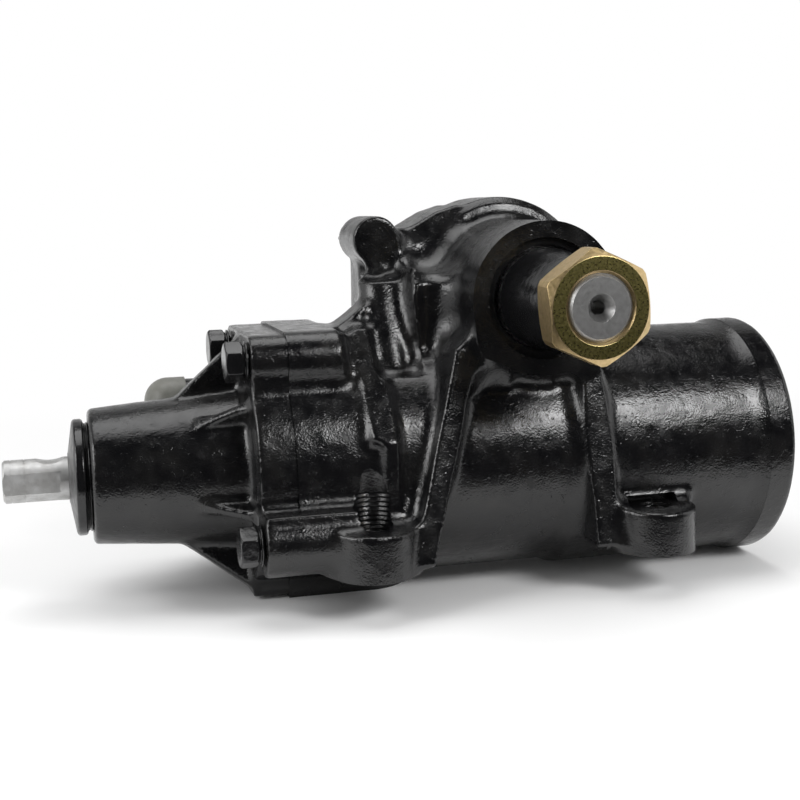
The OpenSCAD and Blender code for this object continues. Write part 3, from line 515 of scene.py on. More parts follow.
def finish_parts(finish):
    finish_nodes = finish.node_tree.nodes
    shader = next(n for n in finish_nodes if n.type == "BSDF_PRINCIPLED")
    return finish_nodes, finish.node_tree.links, shader


def grain(finish, size, detail=2.0, stretch=(1, 1, 1)):
    """Noise whose lumps are about this size in metres."""
    finish_nodes, links, _ = finish_parts(finish)
    place = finish_nodes.new("ShaderNodeTexCoord")
    spread = finish_nodes.new("ShaderNodeMapping")
    spread.inputs["Scale"].default_value = stretch
    noise = finish_nodes.new("ShaderNodeTexNoise")
    noise.inputs["Scale"].default_value = 1 / size
    noise.inputs["Detail"].default_value = detail
    links.new(place.outputs["Object"], spread.inputs["Vector"])
    links.new(spread.outputs["Vector"], noise.inputs["Vector"])
    return noise.outputs["Fac"]


def stepped(finish, value, low, high, to_low, to_high):
    """Stretches the part of a value between low and high over a new range."""
    finish_nodes, links, _ = finish_parts(finish)
    span = finish_nodes.new("ShaderNodeMapRange")
    for socket, number in zip(span.inputs[1:5], (low, high, to_low, to_high)):
        socket.default_value = number
    links.new(value, span.inputs[0])
    return span.outputs[0]


def uneven_gloss(finish, value, low, high):
    """Spreads the usual range of a noise, 0.3 to 0.7, over a range of roughness."""
    _, links, shader = finish_parts(finish)
    links.new(stepped(finish, value, 0.3, 0.7, low, high), shader.inputs["Roughness"])


def relief(finish, *layers):
    """Bump made of (noise, depth in metres) layers, the coarse one first."""
    finish_nodes, links, shader = finish_parts(finish)
    below = None
    for value, depth in layers:
        bump = finish_nodes.new("ShaderNodeBump")
        bump.inputs["Strength"].default_value = 1.0
        bump.inputs["Distance"].default_value = depth
        links.new(value, bump.inputs["Height"])
        if below:
            links.new(below, bump.inputs["Normal"])
        below = bump.outputs["Normal"]
    links.new(below, shader.inputs["Normal"])


def two_tone(finish, value, low, high, first, second):
    """Passes from the first colour to the second where a value goes from low to high."""
    finish_nodes, links, shader = finish_parts(finish)
    blend = finish_nodes.new("ShaderNodeMix")
    blend.data_type = "RGBA"
    blend.inputs[6].default_value, blend.inputs[7].default_value = (*first, 1), (*second, 1)
    links.new(stepped(finish, value, low, high, 0, 1), blend.inputs[0])
    links.new(blend.outputs[2], shader.inputs["Base Color"])


print("finish tools ready")

# %% [markdown]
# ## Black enamel
# The whole gear was painted after assembly, so castings and bolts share one gloss black.
# The paint follows the sand grain below it, which is why its highlights break into specks.
# One flat colour would look like plastic. So broad waves, small specks and a fine grain are
# laid over each other as bump, and more noise makes the colour and the gloss uneven.

# %% Mix the enamel
enamel = new_finish("black_enamel", (0.009, 0.009, 0.010), 0.0, 0.22)
two_tone(enamel, grain(enamel, 0.020, 4), 0.45, 0.70, (0.004, 0.004, 0.0045), (0.010, 0.0097, 0.0094))
uneven_gloss(enamel, grain(enamel, 0.006, 3), 0.13, 0.30)
specks = stepped(enamel, grain(enamel, 0.0022, 2), 0.61, 0.76, 0, 1)
relief(enamel, (grain(enamel, 0.009, 3), 0.0003), (specks, 0.00010), (grain(enamel, 0.0009, 2), 0.00013))

smooth_enamel = new_finish("machined_enamel", (0.005, 0.005, 0.0055), 0.0, 0.2)
PAINT_GLOSS = 0.62
for paint in (enamel, smooth_enamel):
    finish_parts(paint)[2].inputs["Specular IOR Level"].default_value = PAINT_GLOSS
uneven_gloss(smooth_enamel, grain(smooth_enamel, 0.008, 3), 0.14, 0.26)
relief(smooth_enamel, (grain(smooth_enamel, 0.004, 2), 0.00020),
       (grain(smooth_enamel, 0.0008, 1), 0.00003))
print("paint mixed")

# %% [markdown]
# ## Handing a piece over
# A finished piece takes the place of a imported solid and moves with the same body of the
# mechanism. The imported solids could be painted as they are, but then every edge would be
# sharp. So most of those that are seen are replaced, each by its name.

# %% Paint and fit a piece
def painted(solid, finish):
    """One finish all over."""
    solid.data.materials.clear()
    solid.data.materials.append(finish)
    solid.data.polygons.foreach_set("material_index", [0] * len(solid.data.polygons))
    return solid


def fitted(solid, body_name, slot_name, *node_names):
    """Hands a finished piece over: the body it moves with and the solids it stands for."""
    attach(solid, body_name)
    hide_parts(*node_names)
    print(solid.name, len(solid.data.polygons), "faces")
    return solid


# %% [markdown]
# ## The main casting
# The body is one iron casting: cylinder, output boss, ring of the side cover, leaning webs,
# ribs and mounting ears. It could be sculpted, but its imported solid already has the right
# form with sharp corners. So that solid is trimmed, stock is added on the faces that a mill
# or drill cuts, the pile is rounded, and the bores and faces are then cut at their true
# places. All the places that later steps share are set down here.

# %% Places on the body
BODY_VOXEL = 0.8 * MM
JOINT_X, REAR_X = -0.123, 0.1298
BOSS_Y, COVER_Y, FOOT_Z = 0.0215, 0.117, -0.1437
EAR_SPOT, SPOT_WALL = 0.4 * MM, 21 * MM
SHAFT_AXIS, WORM_AXIS = (0, 0, 0), (0, WORM_Y, WORM_Z)
EARS = [(-0.090, 0.010), (0.0515, 0.010), (-0.01925, 0.140)]
EAR_LOW, EAR_HIGH = -0.1231, -0.1011
FLANGE_BOLTS = [(side * y, z) for side in (-1, 1) for y, z in ((0.031, 0.0555), (0.059, -0.026))]
COVER_BOLTS = [(-68, 28), (-68, -31), (62, -33), (62, -1)]
print("ears", len(EARS), "flange bolts", len(FLANGE_BOLTS), "cover bolts", len(COVER_BOLTS))

# %% [markdown]
# ## Shapes of the body
# A few forms come only on this casting: the hollow round the sector, the outline of the side
# cover, tapped holes and leaning webs. A tapped hole is cut with a turned sawtooth edge. A
# true helix would look the same at this size and would take far longer to cut.

# %% Chamber, cover outline, threads and webs
def prism(axis, outline, low, high):
    """A straight solid over an outline that can be seen whole from its middle."""
    first, second, along = AXES[axis]
    outline = np.asarray(outline, float)
    count = len(outline)
    points = np.zeros((2 * count + 2, 3))
    for k, place in enumerate((low, high)):
        rows = slice(k * count, (k + 1) * count)
        points[rows, first], points[rows, second], points[rows, along] = outline[:, 0], outline[:, 1], place
        points[2 * count + k, first], points[2 * count + k, second] = outline.mean(axis=0)
        points[2 * count + k, along] = place
    corners = []
    for i in range(count):
        j = (i + 1) % count
        corners += [(2 * count, j, i), (2 * count + 1, count + i, count + j)]
        corners += [(i, j, count + j), (i, count + j, count + i)]
    return points.astype(np.float32), np.array(corners, np.int32)


def thread(axis, centre, root, crest, pitch, low, high):
    """A turned solid with a sawtooth edge, which leaves a thread's grooves when it is cut away."""
    turns = int((high - low) / pitch)
    profile = []
    for k in range(turns):
        profile += [(root, low + k * pitch), (crest, low + (k + 0.5) * pitch)]
    return lathe(axis, centre, profile + [(root, low + turns * pitch)])


def chamber(upper_r, lower_r, low, high):
    """The hollow round the sector: a wide lower part, and a round upper part."""
    shelf = 8 * MM
    outline = []
    for step in range(120):
        angle = math.pi * (2 * step / 120 - 0.5)
        height = math.sin(angle)
        radius = lower_r if height * lower_r <= shelf else max(upper_r, shelf / height)
        outline.append((radius * height, radius * math.cos(angle)))
    return prism("y", outline, low, high)


def cover_land(grow, low, high):
    """The side cover's outline as overlapping solids, a little larger all round."""
    parts = [chamber((48.5 + grow) * MM, (62 + grow) * MM, low, high)]
    for i, (x, z) in enumerate(COVER_BOLTS):
        parts.append(rod("y", (x * MM, 0, z * MM), (10 + grow) * MM, low, high))
        end_x, end_z = COVER_BOLTS[(i + 1) % 4]
        side = Vector((end_x - x, end_z - z)).normalized() * (4 + grow)
        corners = [(x, z), (x + side.y, z - side.x), (end_x + side.y, end_z - side.x), (end_x, end_z), (0, 0)]
        if i % 2 == 0:
            corners = [(x - side.y, z + side.x)] + corners[1:3] + [(end_x - side.y, end_z + side.x)]
        parts.append(prism("y", [(cz * MM, cx * MM) for cx, cz in corners], low, high))
    shoulder = [(-60, 26), (-46, 34.9), (-34.5, 41.3), (-23.5, 44.7), (0, 44.5), (0, 0)]
    parts.append(prism("y", [(z * MM, x * MM) for x, z in shoulder], low, high))
    return parts


def pared(soup, *kept):
    """A cutter that leaves these other solids alone."""
    tool = solid_object("cutter", *soup)
    for other in kept:
        combine(tool, solid_object("kept", *other), "DIFFERENCE")
    return tool


def leaning_slab(foot, top, back):
    """A slab that changes evenly from foot to top, each given as (z, left, right, front) in mm."""
    points, corners = block((0, 0, 0), (1, 1, 1))
    for point in points:
        z, left, right, front = top if point[2] else foot
        point[:] = (right if point[0] else left) * MM, (back if point[1] else front) * MM, z * MM
    return points, corners


print("body shapes ready")

# %% [markdown]
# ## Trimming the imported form
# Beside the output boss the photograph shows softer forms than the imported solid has: a neck
# with a step, a column that leans back, a rounded edge over a valley, and a web that stands
# nearly upright. They are cut from a copy before rounding, so that they get the same cast
# fillets as the rest. Each cutter first loses whatever has to stay.

# %% Trim a copy of the body
body_cad = nodes["main_housing"]
CASE_WALL = rod("y", SHAFT_AXIS, 58.2 * MM, 0, 130 * MM)
BOSS = rod("y", SHAFT_AXIS, 37.3 * MM, 0, 130 * MM)
COLUMN_X, COLUMN_R, COLUMN_LOW, COLUMN_TOP = -68 * MM, 11 * MM, -44 * MM, 8 * MM
EDGE_R = 12 * MM


def column_front(z):
    """The column leans back: the place of its front at a height."""
    return 46 * MM + (z + 36 * MM) * 20 / 42


step_cut = pared(block((-64.5 * MM, 35 * MM, 4 * MM), (-36 * MM, 83 * MM, 60 * MM)), CASE_WALL)
lean_cut = pared(prism("x", [(15 * MM, -36 * MM), (52 * MM, -36 * MM), (72 * MM, 6 * MM), (72 * MM, 42 * MM),
                             (15 * MM, 42 * MM)], -81 * MM, -55 * MM), CASE_WALL)
edge_cut = pared(block((-57.5 * MM, 48 * MM, 0), (-37.6 * MM, 61 * MM, 13 * MM)),
                 rod("x", (0, 61 * MM, 0), EDGE_R, -60 * MM, -35 * MM), BOSS)
web_cut = pared(leaning_slab((-100.5, 31, 50, -10), (-24, 28.5, 50, -10), 48),
                rod("x", WORM_AXIS, 60.9 * MM, 0, 80 * MM), BOSS)
rear_web = leaning_slab((-119, 18.5, 31.5, 2), (-30, 17.5, 28.7, 22.5), 75)
valley_cut = pared(rod("z", (-50.5 * MM, 42.5 * MM, 0), 9 * MM, -26 * MM, 14 * MM))
ring_cut = pared(rod("y", SHAFT_AXIS, 53 * MM, 62 * MM, 85 * MM), BOSS)
upper_part = block((-52 * MM, 50 * MM, 12.5 * MM), (60 * MM, 90 * MM, 60 * MM))
combine(ring_cut, solid_object("upper", *upper_part), "INTERSECT")
body_form = copied("main_housing", "body_form")
for cutter in (step_cut, lean_cut, edge_cut, valley_cut, ring_cut, web_cut):
    combine(body_form, cutter, "DIFFERENCE")
column_points, column_corners = rod("z", (COLUMN_X, 0, 0), COLUMN_R, COLUMN_LOW, COLUMN_TOP)
column_points[:, 1] += column_front(column_points[:, 2]) + COLUMN_R
lug = rod("y", (COLUMN_X, 0, 28 * MM), 12 * MM, 80 * MM, 110 * MM)
print("trimmed form", len(body_form.data.polygons), "faces")

# %% [markdown]
# ## Bores and stock
# The bores are listed once and used twice: first some of them are filled, so that rounding
# doesn't eat their rims, and after rounding all of them are cut. Two corners beside the boss
# flow into each other with a much larger radius than the rest. They are rounded alone and
# laid on the pile.

# %% Bores, stock and cast skin
def at_bolts(radius, low, high):
    return [rod("x", (0, WORM_Y + y, WORM_Z + z), radius * MM, low, high) for y, z in FLANGE_BOLTS]


def at_cover_bolts(radius, low, high):
    return [rod("y", (x * MM, 0, z * MM), radius * MM, low, high) for x, z in COVER_BOLTS]


bores = [rod("x", WORM_AXIS, r * MM, a * MM, b * MM) for r, a, b in (
    (47, 111.8, 136), (44, -87.03, 112.3), (21, -92.5, -86.5), (40, -130, -92.03), (49.4, 122.8, 125.4))]
bores += [rod("y", SHAFT_AXIS, r * MM, a * MM, b * MM) for r, a, b in ((29, 15, 55.5), (31, 24.5, 26.1))]
FILLED_BORES = len(bores)
bores += at_bolts(6.05, -130 * MM, -101 * MM) + at_cover_bolts(5.05, 103 * MM, 122 * MM)
bores += [thread("z", (x, y, 0), 7 * MM, 7.8 * MM, 2 * MM, EAR_LOW - 6 * MM, EAR_HIGH + 1 * MM)
          for x, y in EARS]
hollow = [chamber(31 * MM, 52 * MM, 55 * MM, 96 * MM), chamber(43 * MM, 52 * MM, 95 * MM, 122 * MM)]
body_stock = [soup_of(body_form), (column_points, column_corners), lug, rear_web]
body_stock += bores[:FILLED_BORES] + hollow
LUG_BLOCKS = [(-41.3, -25, 40.5, 55.5), (-69.3, -50, -26, -11)]


def lug_fronts(low, high):
    """The flange lugs on the viewer's side are not round in front but flat."""
    return [block((low, WORM_Y + y0 * MM, WORM_Z + z0 * MM), (high, WORM_Y + y1 * MM, WORM_Z + z1 * MM))
            for y0, y1, z0, z1 in LUG_BLOCKS]


body_stock += lug_fronts(-128 * MM, -96.5 * MM)
SOFT_CORNERS = [((-58, 52, 2), (-20, 105, 52)), ((-47, 20, -45), (-15, 62, 14))]
for low, high in SOFT_CORNERS:
    corner = solid_object("corner", *block([v * MM for v in low], [v * MM for v in high]))
    form = bpy.data.objects.new("form", body_form.data.copy())
    scene.collection.objects.link(form)
    combine(corner, form, "INTERSECT")
    blend_points, blend_quads = cast_skin([soup_of(corner)], 14 * MM, 0.6 * MM, 1.4 * MM)
    body_stock.append((blend_points, np.vstack([blend_quads[:, :3], blend_quads[:, [0, 2, 3]]])))
    bpy.data.objects.remove(corner)
bpy.data.objects.remove(body_form)
body_stock += at_bolts(8, -128 * MM, -101 * MM) + at_cover_bolts(7, 102 * MM, 121 * MM)
body_stock += [rod("z", (x, y, 0), 10 * MM, EAR_LOW - 3 * MM, EAR_HIGH) for x, y in EARS]
body_stock.append(block((36 * MM, SPOT_WALL, EAR_HIGH - 2 * MM),
                        (67 * MM, 30 * MM, EAR_HIGH + 6 * MM)))
body_stock += [rod("x", WORM_AXIS, 58.4 * MM, -104 * MM, -79 * MM),
               rod("x", WORM_AXIS, 60.8 * MM, 32 * MM, 72 * MM)]
for axis, plane, depth in (("x", JOINT_X, -6), ("x", REAR_X, 5), ("y", BOSS_Y, -5), ("y", COVER_Y, 5),
                           ("z", FOOT_Z, -5), ("z", EAR_LOW, -4)):
    body_stock.append(face_stock(body_cad, axis, plane, depth * MM))
points, quads = cast_skin(body_stock, 6 * MM, 1.3 * MM, BODY_VOXEL)
body = solid_object("body_casting", points, quads)
print("body skin", len(quads), "faces")

# %% [markdown]
# ## Milling and drilling the body
# On the real part the sand skin stays wherever no tool went. Joint faces, bores, bolt holes
# and the ear seats are cut through it and have sharp rims. All the cutters are joined to one
# solid first, so that the casting is cut once, and a light displacement is laid on the skin
# before the cut, because a sand mould is never quite true.

# %% Mill and drill the body
FAR, SAND_DEPTH = 0.4, 0.35 * MM
sand = bpy.data.textures.new("sand_mould", "CLOUDS")
sand.noise_scale = 0.014


def sand_cast(solid):
    """Makes a skin as uneven as a sand mould, mostly inwards, so that the size stays."""
    wobble = solid.modifiers.new("sand", "DISPLACE")
    wobble.texture, wobble.strength, wobble.mid_level = sand, -SAND_DEPTH, 0.1
    return applied(solid)


sand_cast(body)
body_cuts = bores + hollow + cover_land(1.2, COVER_Y, COVER_Y + 20 * MM)
drill_point = [(8.6, 0), (8.6, 17), (7.6, 24), (6.2, 32), (4.4, 40)]
body_cuts += [thread("z", (*EARS[0], 0), 8.9 * MM, 9.6 * MM, 2.2 * MM,
                     EAR_HIGH - EAR_SPOT, EAR_HIGH + 16 * MM),
              lathe("z", (*EARS[0], 0), [(r * MM, EAR_HIGH - EAR_SPOT + z * MM) for r, z in drill_point]),
              block((38.5 * MM, -0.1, EAR_HIGH - EAR_SPOT), (64.5 * MM, SPOT_WALL, EAR_HIGH + 3.8 * MM))]
body_cuts += [block((-FAR, -FAR, -FAR), (JOINT_X, FAR, FAR)),
              block((REAR_X, -FAR, -FAR), (FAR, FAR, FAR)),
              block((-FAR, -FAR, -FAR), (FAR, FAR, FOOT_Z)),
              rod("y", SHAFT_AXIS, 46 * MM, -20 * MM, BOSS_Y)]
body_cuts += [rod("z", (x, y, 0), 24 * MM, -139 * MM, EAR_LOW) for x, y in EARS]
bead_shoulder = [(60.7, 95), (66, 95), (66, 116.8), (62.3, 116.8), (60.7, 112.3)]
body_cuts.append(ring("x", WORM_AXIS, in_mm(bead_shoulder)))
machined(body, body_cuts)
shade(body, 32)
painted(body, enamel)
fitted(body, "housing", "black_casting", "main_housing")

# %% [markdown]
# ## The valve housing
# The nose is a second casting, bolted to the body with four bolts. It is rounded in the same
# way, cut off flat at the joint, chamfered at the tip, and then gets its turned spigot and
# its bores. Making it from one revolved outline would be quicker, but its flange, gussets and
# ports aren't round.

# %% Cast and machine the nose
NOSE_X, FLANGE_X, PORT_X = -0.214, -0.1405, -0.1625
SMALL_VOXEL = 0.8 * MM
PORTS = [(46, 27), (52, -2)]
nose_cad = nodes["valve_housing"]
nose_bores = [rod("x", WORM_AXIS, r * MM, a * MM, b * MM) for r, a, b in (
    (24.06, -185.1, -100), (16, -190, -184.6), (18, -200.4, -189.4), (20, -220, -200), (21.6, -212, -210.4))]


def at_ports(radius, low, high):
    return [rod("x", (0, WORM_Y + y * MM, WORM_Z + z * MM), radius * MM, low, high) for y, z in PORTS]


nose_stock = [soup_of(nose_cad), face_stock(nose_cad, "x", JOINT_X, 5 * MM)]
nose_stock += lug_fronts(-139.5 * MM, -118 * MM)
nose_stock += [rod("x", WORM_AXIS, 30 * MM, NOSE_X, -118 * MM),
               rod("x", WORM_AXIS, 42 * MM, -124 * MM, -118 * MM)]
nose_stock += at_bolts(9, -140 * MM, -118 * MM) + at_ports(11, PORT_X - 4 * MM, FLANGE_X)
points, quads = cast_skin(nose_stock, 3.5 * MM, 1.2 * MM, SMALL_VOXEL)
nose = sand_cast(solid_object("nose_casting", points, quads))
tip_chamfer = [(36, -215), (36, -213.1), (33, -213.1), (31.6, -214.05), (31.6, -215)]
machined(nose, [block((JOINT_X, -FAR, -FAR), (FAR, FAR, FAR)), ring("x", WORM_AXIS, in_mm(tip_chamfer))]
         + at_ports(16, PORT_X - 12 * MM, PORT_X) + at_bolts(11.2, -170 * MM, FLANGE_X))
spigot = rod("x", WORM_AXIS, 39.95 * MM, JOINT_X - 2 * MM, -108.15 * MM)
combine(nose, solid_object("spigot", *spigot), "UNION")
machined(nose, nose_bores + at_bolts(6.5, -150 * MM, -115 * MM) + at_ports(8, PORT_X - 8 * MM, FLANGE_X))
shade(nose, 32)
painted(nose, enamel)
fitted(nose, "housing", "black_casting", "valve_housing")

# %% [markdown]
# ## The side cover
# The cover closes the sector's chamber at the back and carries the screw that sets the mesh.
# The photograph doesn't show it, so it is kept as plain as such covers are: a flange with
# lugs, a domed middle and four bolts. It is rounded and cut as the other castings are.

# %% Cast and machine the cover
COVER_FACE_Y, COVER_END_Y = 0.126, 0.137
cover_cad = nodes["side_cover"]
cover_stock = [soup_of(cover_cad), face_stock(cover_cad, "y", COVER_Y, -5 * MM),
               face_stock(cover_cad, "y", COVER_END_Y, 3 * MM)]
cover_stock += [rod("y", SHAFT_AXIS, 40 * MM, 112 * MM, 125 * MM),
                rod("y", SHAFT_AXIS, 10 * MM, 120 * MM, 139 * MM)]
cover_stock += at_cover_bolts(7, 113 * MM, 126 * MM)
points, quads = cast_skin(cover_stock, 3 * MM, 1.2 * MM, SMALL_VOXEL)
cover = sand_cast(solid_object("cover_casting", points, quads))
machined(cover, [block((-FAR, -FAR, -FAR), (FAR, COVER_Y, FAR)),
                 block((-FAR, COVER_END_Y, -FAR), (FAR, FAR, FAR))]
         + at_cover_bolts(9.6, COVER_FACE_Y, 150 * MM))
combine(cover, solid_object("hub", *rod("y", SHAFT_AXIS, 27 * MM, 98 * MM, 119 * MM)), "UNION")
machined(cover, [rod("y", SHAFT_AXIS, 23 * MM, 95 * MM, 124.2 * MM),
                 rod("y", SHAFT_AXIS, 6.05 * MM, 120 * MM, 145 * MM)]
         + at_cover_bolts(5.5, 110 * MM, 145 * MM))
shade(cover, 32)
painted(cover, enamel)
fitted(cover, "housing", "black_casting", "side_cover")

# %% [markdown]
# ## Bolts under paint
# Forged bolt heads with paint on them have soft corners. The heads could be bevelled, but the
# same distance field gives the look at once, with a finer voxel.

# %% Painted bolts
for node_name, name in (("valve_housing_bolts", "flange_bolts"), ("side_cover_bolts", "cover_bolts")):
    points, quads = cast_skin([soup_of(nodes[node_name])], 0.5 * MM, 0.5 * MM, 0.3 * MM)
    bolts = solid_object(name, points, quads)
    shade(bolts, 40)
    painted(bolts, smooth_enamel)
    fitted(bolts, "housing", "black_bolt", node_name)

# %% [markdown]
# ## Steel, zinc, rubber and plastic
# The bare pieces each have their own finish. Turned steel is stained and scratched round its
# axis, yellow zinc is a cloudy tan on the nut's flats and olive on its turned faces, and the
# rubber and the plastic caps are nearly matt.
# Every finish mixes two tones and varies its gloss, so that no face looks printed.

# %% Finishes of the bare pieces
bright_steel = new_finish("bright_steel", (0.62, 0.62, 0.61), 1.0, 0.3)
two_tone(bright_steel, grain(bright_steel, 0.007, 6), 0.42, 0.68, (0.60, 0.60, 0.595), (0.46, 0.455, 0.445))
uneven_gloss(bright_steel, grain(bright_steel, 0.003, 4), 0.46, 0.64)
relief(bright_steel, (grain(bright_steel, 0.0016, 3), 0.00005),
       (grain(bright_steel, 0.0009, 2, (5, 0.5, 0.5)), 0.00002))

ground_steel = new_finish("ground_steel", (0.5, 0.5, 0.5), 1.0, 0.3)
two_tone(ground_steel, grain(ground_steel, 0.005, 4), 0.4, 0.65, (0.56, 0.56, 0.56), (0.42, 0.42, 0.41))
uneven_gloss(ground_steel, grain(ground_steel, 0.002, 3), 0.2, 0.36)
relief(ground_steel, (grain(ground_steel, 0.0007, 2), 0.00002))

shaft_steel = new_finish("shaft_steel", (0.3, 0.3, 0.295), 1.0, 0.45)
two_tone(shaft_steel, grain(shaft_steel, 0.002, 5), 0.36, 0.68, (0.50, 0.50, 0.495), (0.42, 0.415, 0.41))
uneven_gloss(shaft_steel, grain(shaft_steel, 0.001, 3), 0.40, 0.52)
relief(shaft_steel, (grain(shaft_steel, 0.0006, 2), 0.00001))

yellow_zinc = new_finish("yellow_zinc", (0.66, 0.48, 0.17), 1.0, 0.34)
two_tone(yellow_zinc, grain(yellow_zinc, 0.0018, 5), 0.36, 0.66, (0.72, 0.54, 0.29), (0.60, 0.45, 0.22))
uneven_gloss(yellow_zinc, grain(yellow_zinc, 0.0014, 4), 0.30, 0.44)
relief(yellow_zinc, (grain(yellow_zinc, 0.0007, 2), 0.00002))

olive_zinc = new_finish("olive_zinc", (0.36, 0.31, 0.1), 1.0, 0.3)
two_tone(olive_zinc, grain(olive_zinc, 0.0012, 5), 0.38, 0.64, (0.66, 0.57, 0.22), (0.46, 0.40, 0.13))
uneven_gloss(olive_zinc, grain(olive_zinc, 0.001, 3), 0.24, 0.38)
relief(olive_zinc, (grain(olive_zinc, 0.0006, 2), 0.00003))

washer_zinc = new_finish("washer_zinc", (0.7, 0.7, 0.69), 1.0, 0.3)
two_tone(washer_zinc, grain(washer_zinc, 0.004, 4), 0.4, 0.7, (0.74, 0.74, 0.73), (0.5, 0.5, 0.48))
uneven_gloss(washer_zinc, grain(washer_zinc, 0.002, 3), 0.22, 0.4)

seal_rubber = new_finish("seal_rubber", (0.016, 0.016, 0.017), 0.0, 0.42)
uneven_gloss(seal_rubber, grain(seal_rubber, 0.003, 3), 0.34, 0.52)
relief(seal_rubber, (grain(seal_rubber, 0.0011, 2), 0.00006))

dust_rubber = new_finish("dust_rubber", (0.05, 0.05, 0.052), 0.0, 0.42)
two_tone(dust_rubber, grain(dust_rubber, 0.011, 4), 0.42, 0.66, (0.065, 0.065, 0.066), (0.095, 0.095, 0.094))
uneven_gloss(dust_rubber, grain(dust_rubber, 0.004, 3), 0.3, 0.5)
relief(dust_rubber, (grain(dust_rubber, 0.004, 2), 0.00015), (grain(dust_rubber, 0.0008, 2), 0.00003))

cap_plastic = new_finish("cap_plastic", (0.17, 0.168, 0.135), 0.0, 0.42)
two_tone(cap_plastic, grain(cap_plastic, 0.010, 4), 0.4, 0.66, (0.18, 0.18, 0.162), (0.135, 0.135, 0.118))
uneven_gloss(cap_plastic, grain(cap_plastic, 0.003, 3), 0.34, 0.52)
relief(cap_plastic, (grain(cap_plastic, 0.003, 2), 0.00012))

bronze = new_finish("bronze", (0.6, 0.4, 0.17), 1.0, 0.34)
uneven_gloss(bronze, grain(bronze, 0.002, 3), 0.26, 0.42)
filled_ptfe = new_finish("filled_ptfe", (0.11, 0.115, 0.105), 0.0, 0.5)
uneven_gloss(filled_ptfe, grain(filled_ptfe, 0.001, 3), 0.4, 0.6)

inner_finishes = {"ground_steel": ground_steel, "seal_rubber": seal_rubber,
                  "bronze": bronze, "ptfe": filled_ptfe}
for part in frame["record"]["subparts"]:
    finish = inner_finishes.get(part["material_slot"])
    if finish:
        painted(nodes[part["node"]], finish)
for node_name in ("sector_seal_washer", "sector_seal_retaining_ring"):
    painted(nodes[node_name], smooth_enamel)
print("inner pieces finished")

# %% [markdown]
# ## The input end
# The input shaft is bright turned steel with one flat and a notch for the pinch bolt. Its
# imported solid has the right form, so a copy gets a deeper notch, a scribed line and softened
# edges. The dust seal is turned from an outline: a shallow cone, a thick rim that caught the
# paint and a small groove behind it.

# %% Input shaft and dust seal
def softened(solid, width, crease=30, segments=2):
    """Joins flat faces, bevels the sharp edges and shades the rest smooth."""
    work = bmesh.new()
    work.from_mesh(solid.data)
    bmesh.ops.remove_doubles(work, verts=work.verts, dist=1e-6)
    bmesh.ops.dissolve_limit(work, angle_limit=math.radians(0.5), verts=work.verts, edges=work.edges)
    work.to_mesh(solid.data)
    work.free()
    bevel = solid.modifiers.new("soft_edges", "BEVEL")
    bevel.width, bevel.segments = width, segments
    bevel.limit_method, bevel.angle_limit = "ANGLE", math.radians(crease)
    applied(solid)
    shade(solid, crease)
    level_faces = solid.modifiers.new("level_faces", "WEIGHTED_NORMAL")
    level_faces.keep_sharp = True
    return applied(solid)


input_shaft = copied("input_shaft", "input_shaft_turned")
scribed = [(9.9, -244.3), (12, -244.3), (12, -243.9), (9.9, -243.9)]
tip_groove = [(9.95, -250.6), (12, -250.6), (12, -250.1), (9.95, -250.1)]
NOTCH_X, NOTCH_R, NOTCH_DEPTH, INPUT_R = -232.4 * MM, 13 * MM, 1.9 * MM, 10.28 * MM
notch = rod("y", (NOTCH_X, 0, WORM_Z + INPUT_R + NOTCH_R - NOTCH_DEPTH), NOTCH_R, 50 * MM, 100 * MM)
machined(input_shaft, [notch] + [ring("x", WORM_AXIS, in_mm(cut)) for cut in (scribed, tip_groove)])
softened(input_shaft, 0.25 * MM)
painted(input_shaft, bright_steel)
fitted(input_shaft, "input", "bright_steel", "input_shaft")

seal_outline = [(10.5, -223.8), (11.6, -224), (12.3, -223.7), (26.4, -221.4), (27.6, -220.8),
                (28, -220), (28, -217.2), (27.5, -216.4), (26.2, -216), (25.6, -215.4),
                (26, -214.9), (26.4, -214.4), (26, -214), (19.9, -214), (19.9, -212.1),
                (17, -212.1), (17, -215), (12, -221), (10.5, -221)]
dust_seal = solid_object("dust_seal_moulded", *ring("x", WORM_AXIS, in_mm(seal_outline)))
softened(dust_seal, 0.3 * MM, 24)
painted(dust_seal, dust_rubber)
dust_seal.data.materials.append(smooth_enamel)
PAINTED_RIM_X = -220.7 * MM
for face in dust_seal.data.polygons:
    face.material_index = 1 if face.center.x > PAINTED_RIM_X else 0
fitted(dust_seal, "housing", "dust_rubber", "dust_seal")

# %% [markdown]
# ## Shipping caps
# Both hydraulic ports are closed with moulded caps for shipping. A cap has a domed end, a
# straight side that ends at the port's face and a stem that grips its bore. It could be a
# sphere on a cylinder, but one turned outline gives the soft shoulder of a moulding.

# %% Port caps
CAP_R, CAP_TIP, CAP_DOME = 13, -183.5, 12
dome = [(CAP_R - CAP_DOME * (1 - math.sin(a)), CAP_TIP + CAP_DOME * (1 - math.cos(a)))
        for a in (math.radians(degrees) for degrees in range(0, 91, 6))]
cap_outline = dome + [(CAP_R, -162.55), (7.9, -162.55), (7.9, -151.5), (7.2, -150.6)]
for (y, z), node_name in zip(PORTS, ("pressure_port_cap", "return_port_cap")):
    cap = solid_object(node_name.replace("port_cap", "cap_moulded"),
                       *lathe("x", (0, WORM_Y + y * MM, WORM_Z + z * MM), in_mm(cap_outline)))
    softened(cap, 0.35 * MM, 24)
    painted(cap, cap_plastic)
    fitted(cap, "housing", "cap_plastic", node_name)

# %% [markdown]
# ## The output end
# The nut is the brightest thing in the picture, so its form counts: a hexagon whose corners
# are turned off at thirty degrees on both faces. Where the cone of the lathe tool meets the
# flats it leaves the curved edges that every nut has. The shaft's end shows a chamfer and the
# centre hole in which the shaft was ground.

